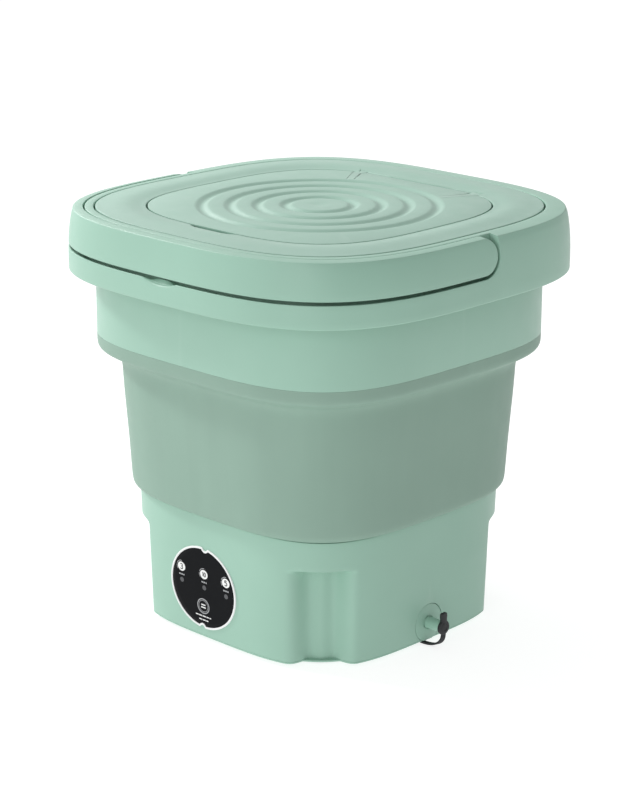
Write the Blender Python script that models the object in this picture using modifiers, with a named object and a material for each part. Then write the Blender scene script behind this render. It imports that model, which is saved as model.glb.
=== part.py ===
"""Folding portable mini washer, as separate sub-parts in one frame.

A hard base holds the motor, the gear pair, the boards and a round touch panel. A soft wall
folds when the hard upper ring and its rim are pushed down over the base. The rim carries a
bail handle and a lift-off lid with a hinged flap.

Metres, +Z up. The origin is on the floor under the middle of the base. -Y is the front, with
the touch panel and the handle's grip; +X has the drain spout; +Y has the flap's hinge and the
power inlet.
"""

from math import acos, cos, degrees, pi, radians, sin

import bmesh
import bpy
from mathutils import Matrix, Vector

# ---------------------------------------------------------------- driving dimensions
GAP = 0.0003                 # between faces that would otherwise touch
WALL = 0.0025                # moulded wall thickness

# Half-widths are measured at the middle of a side. The plan is a superellipse: power 2 is a
# circle, and a higher power is squarer.
RIM_HALF = 0.1710            # rim skirt at its bottom edge, the widest place
RIM_POWER = 3.3
RIM_BOTTOM = 0.2850
RIM_TOP = 0.3340
RING_HALF = 0.1500
RING_POWER = 3.63
RING_BOTTOM = 0.2335
RING_TOP = 0.3165
WALL_POWER = 3.5
BASE_BOTTOM_HALF = 0.1194
BASE_TOP_HALF = 0.1222
BASE_POWER = 3.70
BASE_BOTTOM = 0.0030         # the feet lift the shell off the floor
BASE_TOP = 0.1055

# Corner reliefs of the base: a pocket with a middle rib, below a sloped shoulder
RELIEF_FLUTE = 0.1250        # from the axis along the diagonal to the flutes
RELIEF_RIB = 0.0018          # how far the middle rib stands out of the flutes
RELIEF_RIB_HALF = 0.0090
RELIEF_FLAT_HALF = 0.0080
RELIEF_REACH = 0.0285        # half-width where the pocket has run out
RELIEF_LOW = 0.0782
RELIEF_HIGH = 0.0824

# Handle and its pocket in the rim
HANDLE_PIVOT = Vector((0.0, 0.0010, 0.3200))
HANDLE_RADIUS = 0.0138       # half its height, and the radius of its ends
HANDLE_GAP = 0.0027          # below the handle and round its ends
HANDLE_INNER = 0.1605
POCKET_INNER = 0.1593
POCKET_OPEN_Y = 0.0153       # above the pivot the pocket is open up to here, so the handle can stand up

# Lid and flap
LID_HALF = 0.1523
SEAT_HALF = 0.1531           # rim's inner face round the lid
LID_BOTTOM = 0.3169
LID_FACE = 0.3345            # just over the rim's top
LID_CROWN = 0.3353           # overall height
LID_EDGE = 0.3334            # top of the lid frame round the flap
FLAP_HALF = 0.1166
FLAP_HOLE = 0.1178
FLAP_TOP = 0.3336
FLAP_BOTTOM = 0.3306
RIPPLE_EDGES = (0.0977, 0.0758, 0.0544, 0.0326)
RIPPLE_WIDTH = 0.0120
RIPPLE_DEPTH = 0.0015
HINGE_Y = 0.1135
HINGE_Z = 0.3313
BARREL_RADIUS = 0.0023
BARREL_HALF = 0.0560         # the flap's hinge barrel ends here, at the two slits
EAR_WIDTH = 0.0093
HINGE_PIN_RADIUS = 0.0012

# Touch panel on the front, drain spout on the right, power inlet at the back
PANEL_CENTRE = Vector((-0.0060, -0.1206, 0.0452))
PANEL_HALF_WIDTH = 0.0360
PANEL_HALF_HEIGHT = 0.0335
BEZEL_WIDTH = 0.0014
SPOUT_Z = 0.0180
SPOUT_FLANGE = 0.0152
FLANGE_FLAT = 0.0076         # the flange's lower side is cut flat above the bottom cover
SPOUT_END = 0.1335
SPOUT_BORE = 0.0030
INLET_Z = 0.0320
INLET_FACE_Y = 0.1223

# Drive: a small motor beside the pulsator's shaft, with one gear pair
FLOOR_TOP = 0.0810           # tub floor
FLOOR_HOLE = 0.0093
PLATE_BOTTOM = 0.0600
PLATE_TOP = 0.0630
SHAFT_RADIUS = 0.0040
SHAFT_BORE = SHAFT_RADIUS + GAP
GEAR_MODULE = 0.00125
GEAR_TEETH = 36
PINION_TEETH = 12
GEAR_BACKLASH = 0.00035      # taken off each flank
MOTOR_X = -GEAR_MODULE * (GEAR_TEETH + PINION_TEETH) / 2
MOTOR_RADIUS = 0.0185
MOTOR_SHAFT_RADIUS = 0.0015
PULSATOR_RADIUS = 0.0580

EVEN_STEPS = 48
EVEN_ANGLES = [2 * pi * i / EVEN_STEPS for i in range(EVEN_STEPS)]


# ---------------------------------------------------------------- scene and materials
def clear_scene():
    for obj in list(bpy.data.objects):
        bpy.data.objects.remove(obj, do_unlink=True)


def collection(name):
    group = bpy.data.collections.new(name)
    bpy.context.scene.collection.children.link(group)
    return group


def material(name, colour, roughness, metallic=0.0):
    mat = bpy.data.materials.new(name)
    mat.use_nodes = True
    shader = mat.node_tree.nodes["Principled BSDF"]
    shader.inputs["Base Color"].default_value = (*colour, 1.0)
    shader.inputs["Roughness"].default_value = roughness
    shader.inputs["Metallic"].default_value = metallic
    return mat


clear_scene()
PARTS = collection("mini_washer")
CUTTERS = collection("cutters")

MINT = (0.38, 0.61, 0.49)
SOFT_MINT = (0.32, 0.47, 0.39)
BLACK = (0.012, 0.013, 0.015)
STEEL = (0.55, 0.56, 0.57)


def add(name, mesh, mat, group=None):
    obj = bpy.data.objects.new(name, mesh)
    (group or PARTS).objects.link(obj)
    if mat:
        mesh.materials.append(mat)
    return obj


def part_material(name, colour, roughness, metallic=0.0):
    return material(name + "_material", colour, roughness, metallic)


def as_cutter(obj):
    for group in list(obj.users_collection):
        group.objects.unlink(obj)
    CUTTERS.objects.link(obj)
    obj.hide_render = True
    obj.display_type = "WIRE"
    return obj


def boolean(obj, cutter, operation="DIFFERENCE"):
    as_cutter(cutter)
    mod = obj.modifiers.new(operation.lower() + "_" + cutter.name, "BOOLEAN")
    mod.operation = operation
    mod.solver = "EXACT"
    mod.object = cutter
    return obj


# ---------------------------------------------------------------- shapes
def smoothstep(low, high, value):
    t = min(1.0, max(0.0, (value - low) / (high - low)))
    return t * t * (3 - 2 * t)


def on_plan(angle, half, power):
    """The point of a superellipse in the direction of an angle."""
    c, s = cos(angle), sin(angle)
    reach = half / (abs(c) ** power + abs(s) ** power) ** (1 / power)
    return Vector((reach * c, reach * s, 0.0))


def ring(half, power, z, angles=EVEN_ANGLES):
    return [on_plan(angle, half, power) + Vector((0, 0, z)) for angle in angles]


def loft(name, rings, mat, loop=False, cap=False, around=True):
    """Skins rings of equal length, bottom to top, with the faces pointing away from the axis."""
    bm = bmesh.new()
    rows = [[bm.verts.new(point) for point in points] for points in rings]
    count = len(rows[0])
    pairs = list(zip(rows, rows[1:]))
    if loop:
        pairs.append((rows[-1], rows[0]))
    for low, high in pairs:
        for i in range(count if around else count - 1):
            j = (i + 1) % count
            bm.faces.new((low[i], low[j], high[j], high[i]))
    if cap:
        bm.faces.new(list(reversed(rows[0])))
        bm.faces.new(rows[-1])
    if not around:
        bm.faces.new([row[0] for row in rows])
        bm.faces.new([row[-1] for row in reversed(rows)])
    mesh = bpy.data.meshes.new(name)
    bm.to_mesh(mesh)
    bm.free()
    return add(name, mesh, mat)


def solidify(obj, thickness, inward=True):
    mod = obj.modifiers.new("wall", "SOLIDIFY")
    mod.thickness = thickness
    mod.offset = -1.0 if inward else 1.0
    mod.use_even_offset = True
    return obj


def turned(name, profile, mat, steps=24, place=(0, 0, 0), along=(0, 0, 1)):
    """A turned piece from (radius, height) points that run down its outer side."""
    bm = bmesh.new()
    verts = [bm.verts.new((radius, 0, height)) for radius, height in profile]
    for first, second in zip(verts, verts[1:]):
        bm.edges.new((first, second))
    if profile[0][0] > 0:
        bm.edges.new((verts[-1], verts[0]))
    mesh = bpy.data.meshes.new(name)
    bm.to_mesh(mesh)
    bm.free()
    obj = add(name, mesh, mat)
    mod = obj.modifiers.new("turn", "SCREW")
    mod.steps = steps
    mod.render_steps = steps
    mod.use_merge_vertices = True
    mod.merge_threshold = 0.00001
    obj.location = place
    obj.rotation_mode = "QUATERNION"
    obj.rotation_quaternion = Vector((0, 0, 1)).rotation_difference(Vector(along))
    return obj


def block(name, low, high, mat=None):
    bm = bmesh.new()
    bmesh.ops.create_cube(bm, size=1.0)
    low, high = Vector(low), Vector(high)
    size = high - low
    bmesh.ops.scale(bm, vec=size, verts=bm.verts)
    bmesh.ops.translate(bm, vec=(low + high) / 2, verts=bm.verts)
    mesh = bpy.data.meshes.new(name)
    bm.to_mesh(mesh)
    bm.free()
    return add(name, mesh, mat)


def rod(name, start, end, radius, mat=None, steps=20, squash=1.0):
    """A cylinder between two points; squash scales its local Y before it is turned."""
    start, end = Vector(start), Vector(end)
    bm = bmesh.new()
    bmesh.ops.create_cone(bm, cap_ends=True, segments=steps, radius1=radius, radius2=radius,
                          depth=(end - start).length)
    bmesh.ops.scale(bm, vec=(1, squash, 1), verts=bm.verts)
    mesh = bpy.data.meshes.new(name)
    bm.to_mesh(mesh)
    bm.free()
    obj = add(name, mesh, mat)
    obj.location = (start + end) / 2
    obj.rotation_mode = "QUATERNION"
    obj.rotation_quaternion = Vector((0, 0, 1)).rotation_difference(end - start)
    return obj


def along_x(name, outline, reach):
    """A (y, z) outline extruded from -reach to +reach along X."""
    low = [Vector((-reach, y, z)) for y, z in outline]
    high = [Vector((reach, y, z)) for y, z in outline]
    bm = bmesh.new()
    first = [bm.verts.new(point) for point in low]
    last = [bm.verts.new(point) for point in high]
    for i in range(len(outline)):
        j = (i + 1) % len(outline)
        bm.faces.new((first[i], first[j], last[j], last[i]))
    bm.faces.new(list(reversed(first)))
    bm.faces.new(last)
    bmesh.ops.recalc_face_normals(bm, faces=bm.faces)
    mesh = bpy.data.meshes.new(name)
    bm.to_mesh(mesh)
    bm.free()
    return add(name, mesh, None)


# ---------------------------------------------------------------- base shell
def base_angles():
    """Even steps along the sides and closer ones over the corner reliefs."""
    angles = []
    for quarter in range(4):
        middle = pi / 4 + quarter * pi / 2
        angles += [middle + radians(step) for step in (-45, -36, -27, -18)]
        angles += [middle + radians(step) for step in range(-13, 14, 2)]
        angles += [middle + radians(step) for step in (18, 27, 36)]
    return angles


BASE_ANGLES = base_angles()


def base_half(z):
    return BASE_BOTTOM_HALF + (BASE_TOP_HALF - BASE_BOTTOM_HALF) * (z - BASE_BOTTOM) / (BASE_TOP - BASE_BOTTOM)


def base_point(angle, half, relief):
    """A point of the base's plan, with the corner pocket sunk by relief (0 to 1)."""
    point = on_plan(angle, half, BASE_POWER)
    out = Vector((1 if point.x > 0 else -1, 1 if point.y > 0 else -1, 0)).normalized()
    side = Vector((-out.y, out.x, 0))
    reach, offset = point.dot(out), point.dot(side)
    rib = RELIEF_RIB * (1 - smoothstep(0, RELIEF_RIB_HALF, abs(offset)))
    pocket = RELIEF_FLUTE + rib
    keep = smoothstep(RELIEF_FLAT_HALF, RELIEF_REACH, abs(offset))
    sunk = (reach - pocket) * (1 - keep)
    return out * (reach - relief * sunk) + side * offset


def base_ring(z, half=None, relief=None):
    half = base_half(z) if half is None else half
    relief = 1 - smoothstep(RELIEF_LOW, RELIEF_HIGH, z) if relief is None else relief
    return [base_point(angle, half, relief) + Vector((0, 0, z)) for angle in BASE_ANGLES]


def panel_frame():
    """The panel's axes: outward along the drafted front face."""
    draft = Vector((0, -(BASE_TOP_HALF - BASE_BOTTOM_HALF), BASE_TOP - BASE_BOTTOM)).normalized()
    return Vector((0, -draft.z, draft.y))


def oval(name, front, back, grow, mat=None, steps=40):
    """An oval plate on the panel's axis, from front to back behind its face."""
    out = panel_frame()
    half_width = PANEL_HALF_WIDTH + grow
    half_height = PANEL_HALF_HEIGHT + grow
    start = PANEL_CENTRE + out * front
    end = PANEL_CENTRE - out * back
    obj = rod(name, end, start, half_width, mat, steps)
    stretch = half_height / half_width
    up = Vector((0, -out.z, out.y)) * -1
    for vertex in obj.data.vertices:
        world = obj.rotation_quaternion @ vertex.co
        lift = world.dot(up)
        world += up * lift * (stretch - 1)
        vertex.co = obj.rotation_quaternion.inverted() @ world
    return obj


def make_base_shell():
    mat = part_material("base_shell", MINT, 0.42)
    rings = [base_ring(BASE_BOTTOM, base_half(BASE_BOTTOM) - 0.0005)]
    rings += [base_ring(z) for z in (0.0045, RELIEF_LOW, 0.0796, 0.0810, RELIEF_HIGH, BASE_TOP)]
    shell = solidify(loft("base_shell", rings, mat), WALL)
    boolean(shell, oval("panel_window", 0.0100, 0.0100, GAP))
    spout = rod("spout_window", (0.1000, 0, SPOUT_Z), (0.1400, 0, SPOUT_Z), SPOUT_FLANGE + GAP, steps=32)
    boolean(spout, block("window_sill", (0.09, -0.03, -0.02), (0.15, 0.03, FLANGE_FLAT - GAP)))
    boolean(shell, spout)
    inlet = rod("inlet_window", (0, 0.1000, INLET_Z), (0, 0.1400, INLET_Z), 0.0063)
    boolean(shell, inlet)
    return shell


def make_tub_basin():
    mat = part_material("tub_basin", MINT, 0.42)
    rings = [ring(0.1172, 3.6, 0.1120), ring(0.1155, 3.5, 0.0950), ring(0.1100, 3.4, 0.0870),
             ring(0.1000, 3.0, 0.0825), ring(0.0650, 2.0, FLOOR_TOP),
             ring(FLOOR_HOLE, 2.0, FLOOR_TOP)]
    return solidify(loft("tub_basin", rings, mat), WALL)


COVER_LOW = 0.0045
COVER_HIGH = COVER_LOW + WALL
FOOT_REACH = 0.0780
SCREW_REACH = 0.0620


def corners(reach):
    return [(sx * reach, sy * reach) for sx, sy in ((1, -1), (1, 1), (-1, 1), (-1, -1))]


def make_bottom_cover():
    mat = part_material("bottom_cover", MINT, 0.5)
    inset = WALL + 0.0006
    outline = []
    for point in base_ring(0):
        flat = Vector((point.x, point.y, 0))
        outline.append(flat - flat.normalized() * inset * 1.25)
    rings = [[p + Vector((0, 0, z)) for p in outline] for z in (COVER_LOW, COVER_HIGH)]
    cover = loft("bottom_cover", rings, mat, cap=True)
    for i, (x, y) in enumerate(corners(SCREW_REACH)):
        hole = rod(f"cover_hole_{i}", (x, y, 0), (x, y, 0.02), 0.0018, steps=12)
        boolean(cover, hole)
    for i, (x, y) in enumerate(corners(FOOT_REACH)):
        hole = rod(f"foot_hole_{i}", (x, y, 0), (x, y, 0.02), 0.0033, steps=12)
        boolean(cover, hole)
    return cover


def make_feet_and_screws():
    rubber = (0.03, 0.03, 0.03)
    under = COVER_LOW - GAP
    for i, (x, y) in enumerate(corners(FOOT_REACH)):
        name = f"rubber_foot_{i + 1}"
        profile = [(0, 0.0066), (0.0030, 0.0066), (0.0030, under), (0.0095, under),
                   (0.0095, 0.0010), (0.0085, 0.0), (0, 0.0)]
        turned(name, profile, part_material(name, rubber, 0.85), 14, (x, y, 0))
    for i, (x, y) in enumerate(corners(SCREW_REACH)):
        name = f"cover_screw_{i + 1}"
        profile = [(0, 0.0130), (0.0015, 0.0120), (0.0015, under), (0.0032, under),
                   (0.0032, 0.0030), (0.0024, 0.0022), (0, 0.0022)]
        turned(name, profile, part_material(name, STEEL, 0.3, 1.0), 10, (x, y, 0))


# ---------------------------------------------------------------- drive
def tooth_outline(teeth, backlash):
    """A gear's outline: straight-flanked teeth, root to tip, one tooth after another."""
    pitch = GEAR_MODULE * teeth / 2
    tip, root = pitch + 0.90 * GEAR_MODULE, pitch - 1.20 * GEAR_MODULE
    quarter = pi / (2 * teeth) - backlash / pitch
    slope = 0.36 * GEAR_MODULE / pitch
    points = []
    for i in range(teeth):
        middle = 2 * pi * i / teeth
        for radius, half in ((root, quarter + slope * 1.3), (tip, quarter - slope)):
            points.append((radius, middle - half))
        for radius, half in ((tip, quarter - slope), (root, quarter + slope * 1.3)):
            points.append((radius, middle + half))
    return [Vector((r * cos(t), r * sin(t), 0)) for r, t in points]


def make_gear(name, teeth, low, high, bore, place, phase, colour, roughness, metallic):
    mat = part_material(name, colour, roughness, metallic)
    outline = tooth_outline(teeth, GEAR_BACKLASH)
    turn = Matrix.Rotation(phase, 3, "Z")
    rings = [[turn @ p + Vector((place[0], place[1], z)) for p in outline] for z in (low, high)]
    gear = loft(name, rings, mat, cap=True)
    hole = rod(name + "_bore", (*place, low - 0.01), (*place, high + 0.01), bore, steps=16)
    return boolean(gear, hole)


def make_motor():
    mat = part_material("drive_motor", STEEL, 0.28, 1.0)
    bore = MOTOR_SHAFT_RADIUS + GAP
    low, high = 0.0140, PLATE_BOTTOM - GAP
    profile = [(bore, high), (0.0048, high), (0.0048, high - 0.0010), (MOTOR_RADIUS - 0.001, high - 0.0010),
               (MOTOR_RADIUS, high - 0.0020), (MOTOR_RADIUS, low + 0.0020), (MOTOR_RADIUS - 0.002, low),
               (0.0060, low), (0.0060, low - 0.0025), (bore, low - 0.0025)]
    turned("drive_motor", profile, mat, 22, (MOTOR_X, 0, 0))
    shaft = [(0, 0.0725), (MOTOR_SHAFT_RADIUS, 0.0725), (MOTOR_SHAFT_RADIUS, 0.0100), (0, 0.0100)]
    turned("motor_shaft", shaft, part_material("motor_shaft", STEEL, 0.2, 1.0), 12, (MOTOR_X, 0, 0))
    make_gear("motor_pinion", PINION_TEETH, 0.0645, 0.0722, bore, (MOTOR_X, 0),
              pi / PINION_TEETH, (0.75, 0.60, 0.30), 0.35, 1.0)
    make_gear("drive_gear", GEAR_TEETH, 0.0652, 0.0715, SHAFT_BORE, (0, 0), 0.0,
              (0.85, 0.84, 0.80), 0.5, 0.0)


PLATE_POST = (0.0480, 0.0300)
MOTOR_SCREW_Y = 0.0125


def make_motor_plate():
    mat = part_material("motor_plate", (0.15, 0.16, 0.16), 0.6)
    plate = block("motor_plate", (-0.0560, -0.0380, PLATE_BOTTOM), (0.0560, 0.0380, PLATE_TOP), mat)
    for i, (sx, sy) in enumerate(((1, -1), (1, 1), (-1, 1), (-1, -1))):
        x, y = sx * PLATE_POST[0], sy * PLATE_POST[1]
        top = FLOOR_TOP - WALL - GAP
        boolean(plate, rod(f"plate_post_{i}", (x, y, 0.0610), (x, y, top), 0.0045, steps=12), "UNION")
    boolean(plate, rod("bush_seat", (0, 0, 0.05), (0, 0, 0.07), 0.0078))
    boolean(plate, rod("shaft_slot", (MOTOR_X, 0, 0.05), (MOTOR_X, 0, 0.07), 0.0050))
    for i, side in enumerate((-1, 1)):
        name = f"motor_screw_{i + 1}"
        y = side * MOTOR_SCREW_Y
        boolean(plate, rod(name + "_hole", (MOTOR_X, y, 0.05), (MOTOR_X, y, 0.07), 0.0016, steps=12))
        over = PLATE_TOP + GAP
        profile = [(0, over + 0.0012), (0.0020, over + 0.0012), (0.0024, over), (0.0013, over),
                   (0.0013, PLATE_BOTTOM + 0.0001), (0, PLATE_BOTTOM + 0.0001)]
        turned(name, profile, part_material(name, STEEL, 0.3, 1.0), 12, (MOTOR_X, y, 0))


def make_shaft_parts():
    bronze = part_material("shaft_bush", (0.60, 0.40, 0.20), 0.35, 1.0)
    flange = PLATE_BOTTOM - GAP
    profile = [(SHAFT_BORE, 0.0642), (0.0075, 0.0642), (0.0075, flange), (0.0100, flange),
               (0.0100, flange - 0.0015), (SHAFT_BORE, flange - 0.0015)]
    turned("shaft_bush", profile, bronze, 18)
    over = FLOOR_TOP + GAP
    profile = [(SHAFT_BORE, 0.0838), (0.0075, 0.0838), (0.0120, over + 0.0008), (0.0120, over),
               (0.0090, over), (0.0090, 0.0780), (SHAFT_BORE, 0.0780)]
    turned("shaft_seal", profile, part_material("shaft_seal", BLACK, 0.7), 18)
    profile = [(0, 0.0975), (SHAFT_RADIUS - 0.0004, 0.0975), (SHAFT_RADIUS, 0.0970),
               (SHAFT_RADIUS, 0.0570), (0, 0.0570)]
    turned("pulsator_shaft", profile, part_material("pulsator_shaft", STEEL, 0.2, 1.0), 18)


PULSATOR_LOW = 0.0850
HUB_TOP = 0.1010


def make_pulsator():
    mat = part_material("pulsator", (0.80, 0.82, 0.82), 0.35)
    screw_bore, shaft_end = 0.0019, 0.0978
    profile = [(screw_bore, HUB_TOP), (0.0100, HUB_TOP), (0.0135, 0.0990), (0.0200, 0.0935),
               (0.0360, 0.0905), (0.0545, 0.0890), (PULSATOR_RADIUS, 0.0872),
               (PULSATOR_RADIUS, PULSATOR_LOW), (SHAFT_BORE, PULSATOR_LOW), (SHAFT_BORE, shaft_end),
               (screw_bore, shaft_end)]
    disc = turned("pulsator", profile, mat, 36)
    for i in range(3):
        turn = Matrix.Rotation(i * 2 * pi / 3, 4, "Z")
        fin = block(f"fin_{i}", (0.0090, -0.0025, 0.0870), (0.0520, 0.0025, 0.0975))
        for vertex in fin.data.vertices:
            if vertex.co.z > 0.09:
                vertex.co.y *= 0.55
                vertex.co.z -= 0.004 if vertex.co.x > 0.03 else 0.0
        fin.matrix_world = turn
        boolean(disc, fin, "UNION")
    low = HUB_TOP + GAP
    screw = [(0, low + 0.0022), (0.0034, low + 0.0018), (0.0046, low), (0.0015, low),
             (0.0015, 0.0981), (0, 0.0981)]
    turned("pulsator_screw", screw, part_material("pulsator_screw", STEEL, 0.25, 1.0), 16)


# ---------------------------------------------------------------- panel, boards and leads
def make_panel():
    bezel = oval("panel_bezel", 0.0008, 0.0026, 0.0, part_material("panel_bezel", (0.9, 0.9, 0.9), 0.3))
    boolean(bezel, oval("bezel_window", 0.0100, 0.0100, -BEZEL_WIDTH))
    oval("panel_lens", 0.0006, 0.0018, -BEZEL_WIDTH - GAP, part_material("panel_lens", BLACK, 0.08))
    oval("touch_board", -0.0045, 0.0061, -0.0060, part_material("touch_board", (0.02, 0.16, 0.07), 0.5), 28)


def make_control_board():
    mat = part_material("control_board", (0.02, 0.16, 0.07), 0.5)
    board = block("control_board", (0.0280, -0.0420, 0.0150), (0.0880, 0.0280, 0.0166), mat)
    fittings = {
        "capacitor": ((0.0360, -0.0340, 0.0160), (0.0460, -0.0240, 0.0330)),
        "relay": ((0.0540, -0.0340, 0.0160), (0.0730, -0.0190, 0.0310)),
        "driver": ((0.0400, -0.0050, 0.0160), (0.0520, 0.0070, 0.0185)),
        "connector": ((0.0600, 0.0120, 0.0160), (0.0800, 0.0190, 0.0240)),
    }
    for name, (low, high) in fittings.items():
        boolean(board, block(name, low, high), "UNION")
    for i, (x, y) in enumerate(((0.0310, 0.0240), (0.0850, -0.0390))):
        boolean(board, block(f"board_leg_{i}", (x - 0.002, y - 0.002, COVER_HIGH + GAP),
                             (x + 0.002, y + 0.002, 0.0160)), "UNION")


def make_lead(name, points, radius, colour):
    curve = bpy.data.curves.new(name, "CURVE")
    curve.dimensions = "3D"
    curve.bevel_depth = radius
    curve.bevel_resolution = 2
    curve.resolution_u = 1
    curve.use_fill_caps = True
    spline = curve.splines.new("POLY")
    spline.points.add(len(points) - 1)
    for slot, point in zip(spline.points, points):
        slot.co = (*point, 1)
    curve.materials.append(part_material(name, colour, 0.6))
    obj = bpy.data.objects.new(name, curve)
    PARTS.objects.link(obj)


def bend(points, steps=3):
    """A smooth run through chosen points (Catmull-Rom)."""
    pts = [Vector(p) for p in points]
    pts = [pts[0] * 2 - pts[1]] + pts + [pts[-1] * 2 - pts[-2]]
    out = []
    for a, b, c, d in zip(pts, pts[1:], pts[2:], pts[3:]):
        for i in range(steps):
            t = i / steps
            out.append(0.5 * (2 * b + (c - a) * t + (2 * a - 5 * b + 4 * c - d) * t ** 2
                              + (3 * b - a - 3 * c + d) * t ** 3))
    return out + [pts[-2]]


def make_leads():
    """Internal leads: each drops straight onto the control board's connector."""
    top = 0.0245
    panel = [(0.0100, -0.1130, 0.0380), (0.0110, -0.1050, 0.0360), (0.0400, -0.0750, 0.0300),
             (0.0760, -0.0450, 0.0400), (0.0860, -0.0100, 0.0400), (0.0765, 0.0155, 0.0330),
             (0.0760, 0.0155, top)]
    inlet = [(0.0, 0.1075, INLET_Z), (0.0020, 0.0950, 0.0310), (0.0200, 0.0700, 0.0280),
             (0.0520, 0.0420, 0.0320), (0.0680, 0.0230, 0.0360), (0.0690, 0.0155, 0.0320),
             (0.0690, 0.0155, top)]
    motor = [(MOTOR_X + 0.0100, 0, 0.0130), (MOTOR_X + 0.0110, 0.0020, 0.0105), (0.0, 0.0120, 0.0100),
             (0.0180, 0.0200, 0.0130), (0.0240, 0.0140, 0.0260), (0.0400, 0.0120, 0.0290),
             (0.0560, 0.0150, 0.0320), (0.0622, 0.0155, 0.0300), (0.0622, 0.0155, top)]
    make_lead("panel_lead", bend(panel), 0.0012, (0.85, 0.85, 0.85))
    make_lead("inlet_lead", bend(inlet), 0.0012, BLACK)
    make_lead("motor_lead", bend(motor), 0.0009, (0.6, 0.05, 0.05))


def make_inlet():
    mat = part_material("dc_inlet", BLACK, 0.45)
    face, inner = INLET_FACE_Y, 0.1080
    profile = [(0, -0.0020), (0.0010, -0.0024), (0.0010, -0.0110), (0.0028, -0.0110), (0.0028, 0.0),
               (0.0085, 0.0), (0.0085, -0.0018), (0.0060, -0.0018), (0.0060, inner - face), (0, inner - face)]
    turned("dc_inlet", profile, mat, 18, (0, face, INLET_Z), (0, 1, 0))


# ---------------------------------------------------------------- drain
def make_drain():
    face = base_half(SPOUT_Z) + 0.0001
    mat = part_material("drain_spout", MINT, 0.42)
    out = SPOUT_END - face
    profile = [(SPOUT_BORE, out), (0.0046, out), (0.0050, 0.0040), (0.0062, 0.0008), (0.0072, 0.0),
               (SPOUT_FLANGE, 0.0), (SPOUT_FLANGE, -WALL), (0.0060, -WALL), (0.0060, -0.0120),
               (SPOUT_BORE, -0.0120)]
    spout = turned("drain_spout", profile, mat, 24, (face, 0, SPOUT_Z), (1, 0, 0))
    boolean(spout, block("flange_flat", (0.09, -0.03, -0.02), (0.15, 0.03, FLANGE_FLAT)))

    rubber = part_material("drain_cap", BLACK, 0.65)
    plate = 0.0028
    cap = turned("drain_cap", [(0, plate), (0.0050, plate), (0.0058, plate - 0.0006), (0.0058, 0.0006),
                               (0.0052, 0.0), (0.0026, 0.0), (0.0026, -0.0070), (0, -0.0070)],
                 rubber, 18, (SPOUT_END + GAP, 0, SPOUT_Z), (1, 0, 0))
    low_x = SPOUT_END + GAP + 0.0005
    tab = block("cap_tab", (low_x, -0.0032, SPOUT_Z + 0.0040), (low_x + 0.0018, 0.0032, SPOUT_Z + 0.0122))
    boolean(cap, tab, "UNION")


STRAP_ROUTE = ((0.1354, 0.0000, 0.0118), (0.1348, -0.0004, 0.0084), (0.1324, -0.0010, 0.0049),
               (0.1282, -0.0016, 0.0025), (0.1232, -0.0022, 0.0015), (0.1182, -0.0028, 0.0014),
               (0.1142, -0.0032, 0.0018), (0.1110, -0.0036, 0.0027))
STRAP_WIDTH = 0.0034
STRAP_THICK = 0.0012


def make_strap():
    """A flat rubber band from the cap, down and back under the edge of the base."""
    route = bend(STRAP_ROUTE, 2)
    rings = []
    across = Vector((0.35, 1.0, 0)).normalized()
    for i, point in enumerate(route):
        ahead = route[min(i + 1, len(route) - 1)] - route[max(i - 1, 0)]
        wide = (across - ahead.normalized() * across.dot(ahead.normalized())).normalized()
        thin = ahead.cross(wide).normalized()
        w, t = wide * STRAP_WIDTH / 2, thin * STRAP_THICK / 2
        rings.append([point - w - t, point + w - t, point + w + t, point - w + t])
    loft("cap_strap", rings, part_material("cap_strap", BLACK, 0.65), cap=True)


# ---------------------------------------------------------------- folding wall and upper ring
def make_bellows():
    mat = part_material("folding_wall", SOFT_MINT, 0.6)
    foot = BASE_TOP + GAP
    wall = ((0.1224, foot), (0.1262, foot + 0.0014), (0.1284, foot + 0.0047), (0.1292, 0.1165),
            (0.1314, 0.1560), (0.1340, 0.1990), (0.1352, 0.2122))
    band = ((0.1388, 0.2176), (0.1450, 0.2203), (0.1490, 0.2228), (0.1499, 0.2262),
            (RING_HALF, RING_BOTTOM - GAP))
    rings = [ring(half, WALL_POWER, z) for half, z in wall]
    rings += [ring(half, RING_POWER, z) for half, z in band]
    return solidify(loft("folding_wall", rings, mat), WALL)


def make_upper_ring():
    rings = [ring(RING_HALF, RING_POWER, z) for z in (RING_BOTTOM, RING_TOP)]
    return solidify(loft("upper_ring", rings, part_material("upper_ring", MINT, 0.42)), WALL)


RIM_OUTSIDE = ((0.1709, 0.2930), (0.1705, 0.3090), (0.1695, 0.3197), (0.1680, 0.3275), (0.1670, 0.3320))


def rim_half(z):
    """The outer half-width of the rim at a height, for the pieces that lie flush in it."""
    points = ((RIM_HALF, RIM_BOTTOM),) + RIM_OUTSIDE + ((0.1664, RIM_TOP),)
    for (half_low, low), (half_high, high) in zip(points, points[1:]):
        if z <= high:
            return half_low + (half_high - half_low) * (z - low) / (high - low)
    return points[-1][0]


def end_outline(radius, last=90):
    """A bar with a round end at the pivot, running to -Y past the rim, as (y, z) points."""
    y0, z0 = HANDLE_PIVOT.y, HANDLE_PIVOT.z
    turns = [radians(-90 + (90 + last) * i / 12) for i in range(13)]
    arc = [(y0 + radius * cos(t), z0 + radius * sin(t)) for t in turns]
    top = z0 + radius
    return [(-0.2, top), (-0.2, z0 - radius)] + arc + ([(arc[-1][0], top)] if last < 90 else [])


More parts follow.
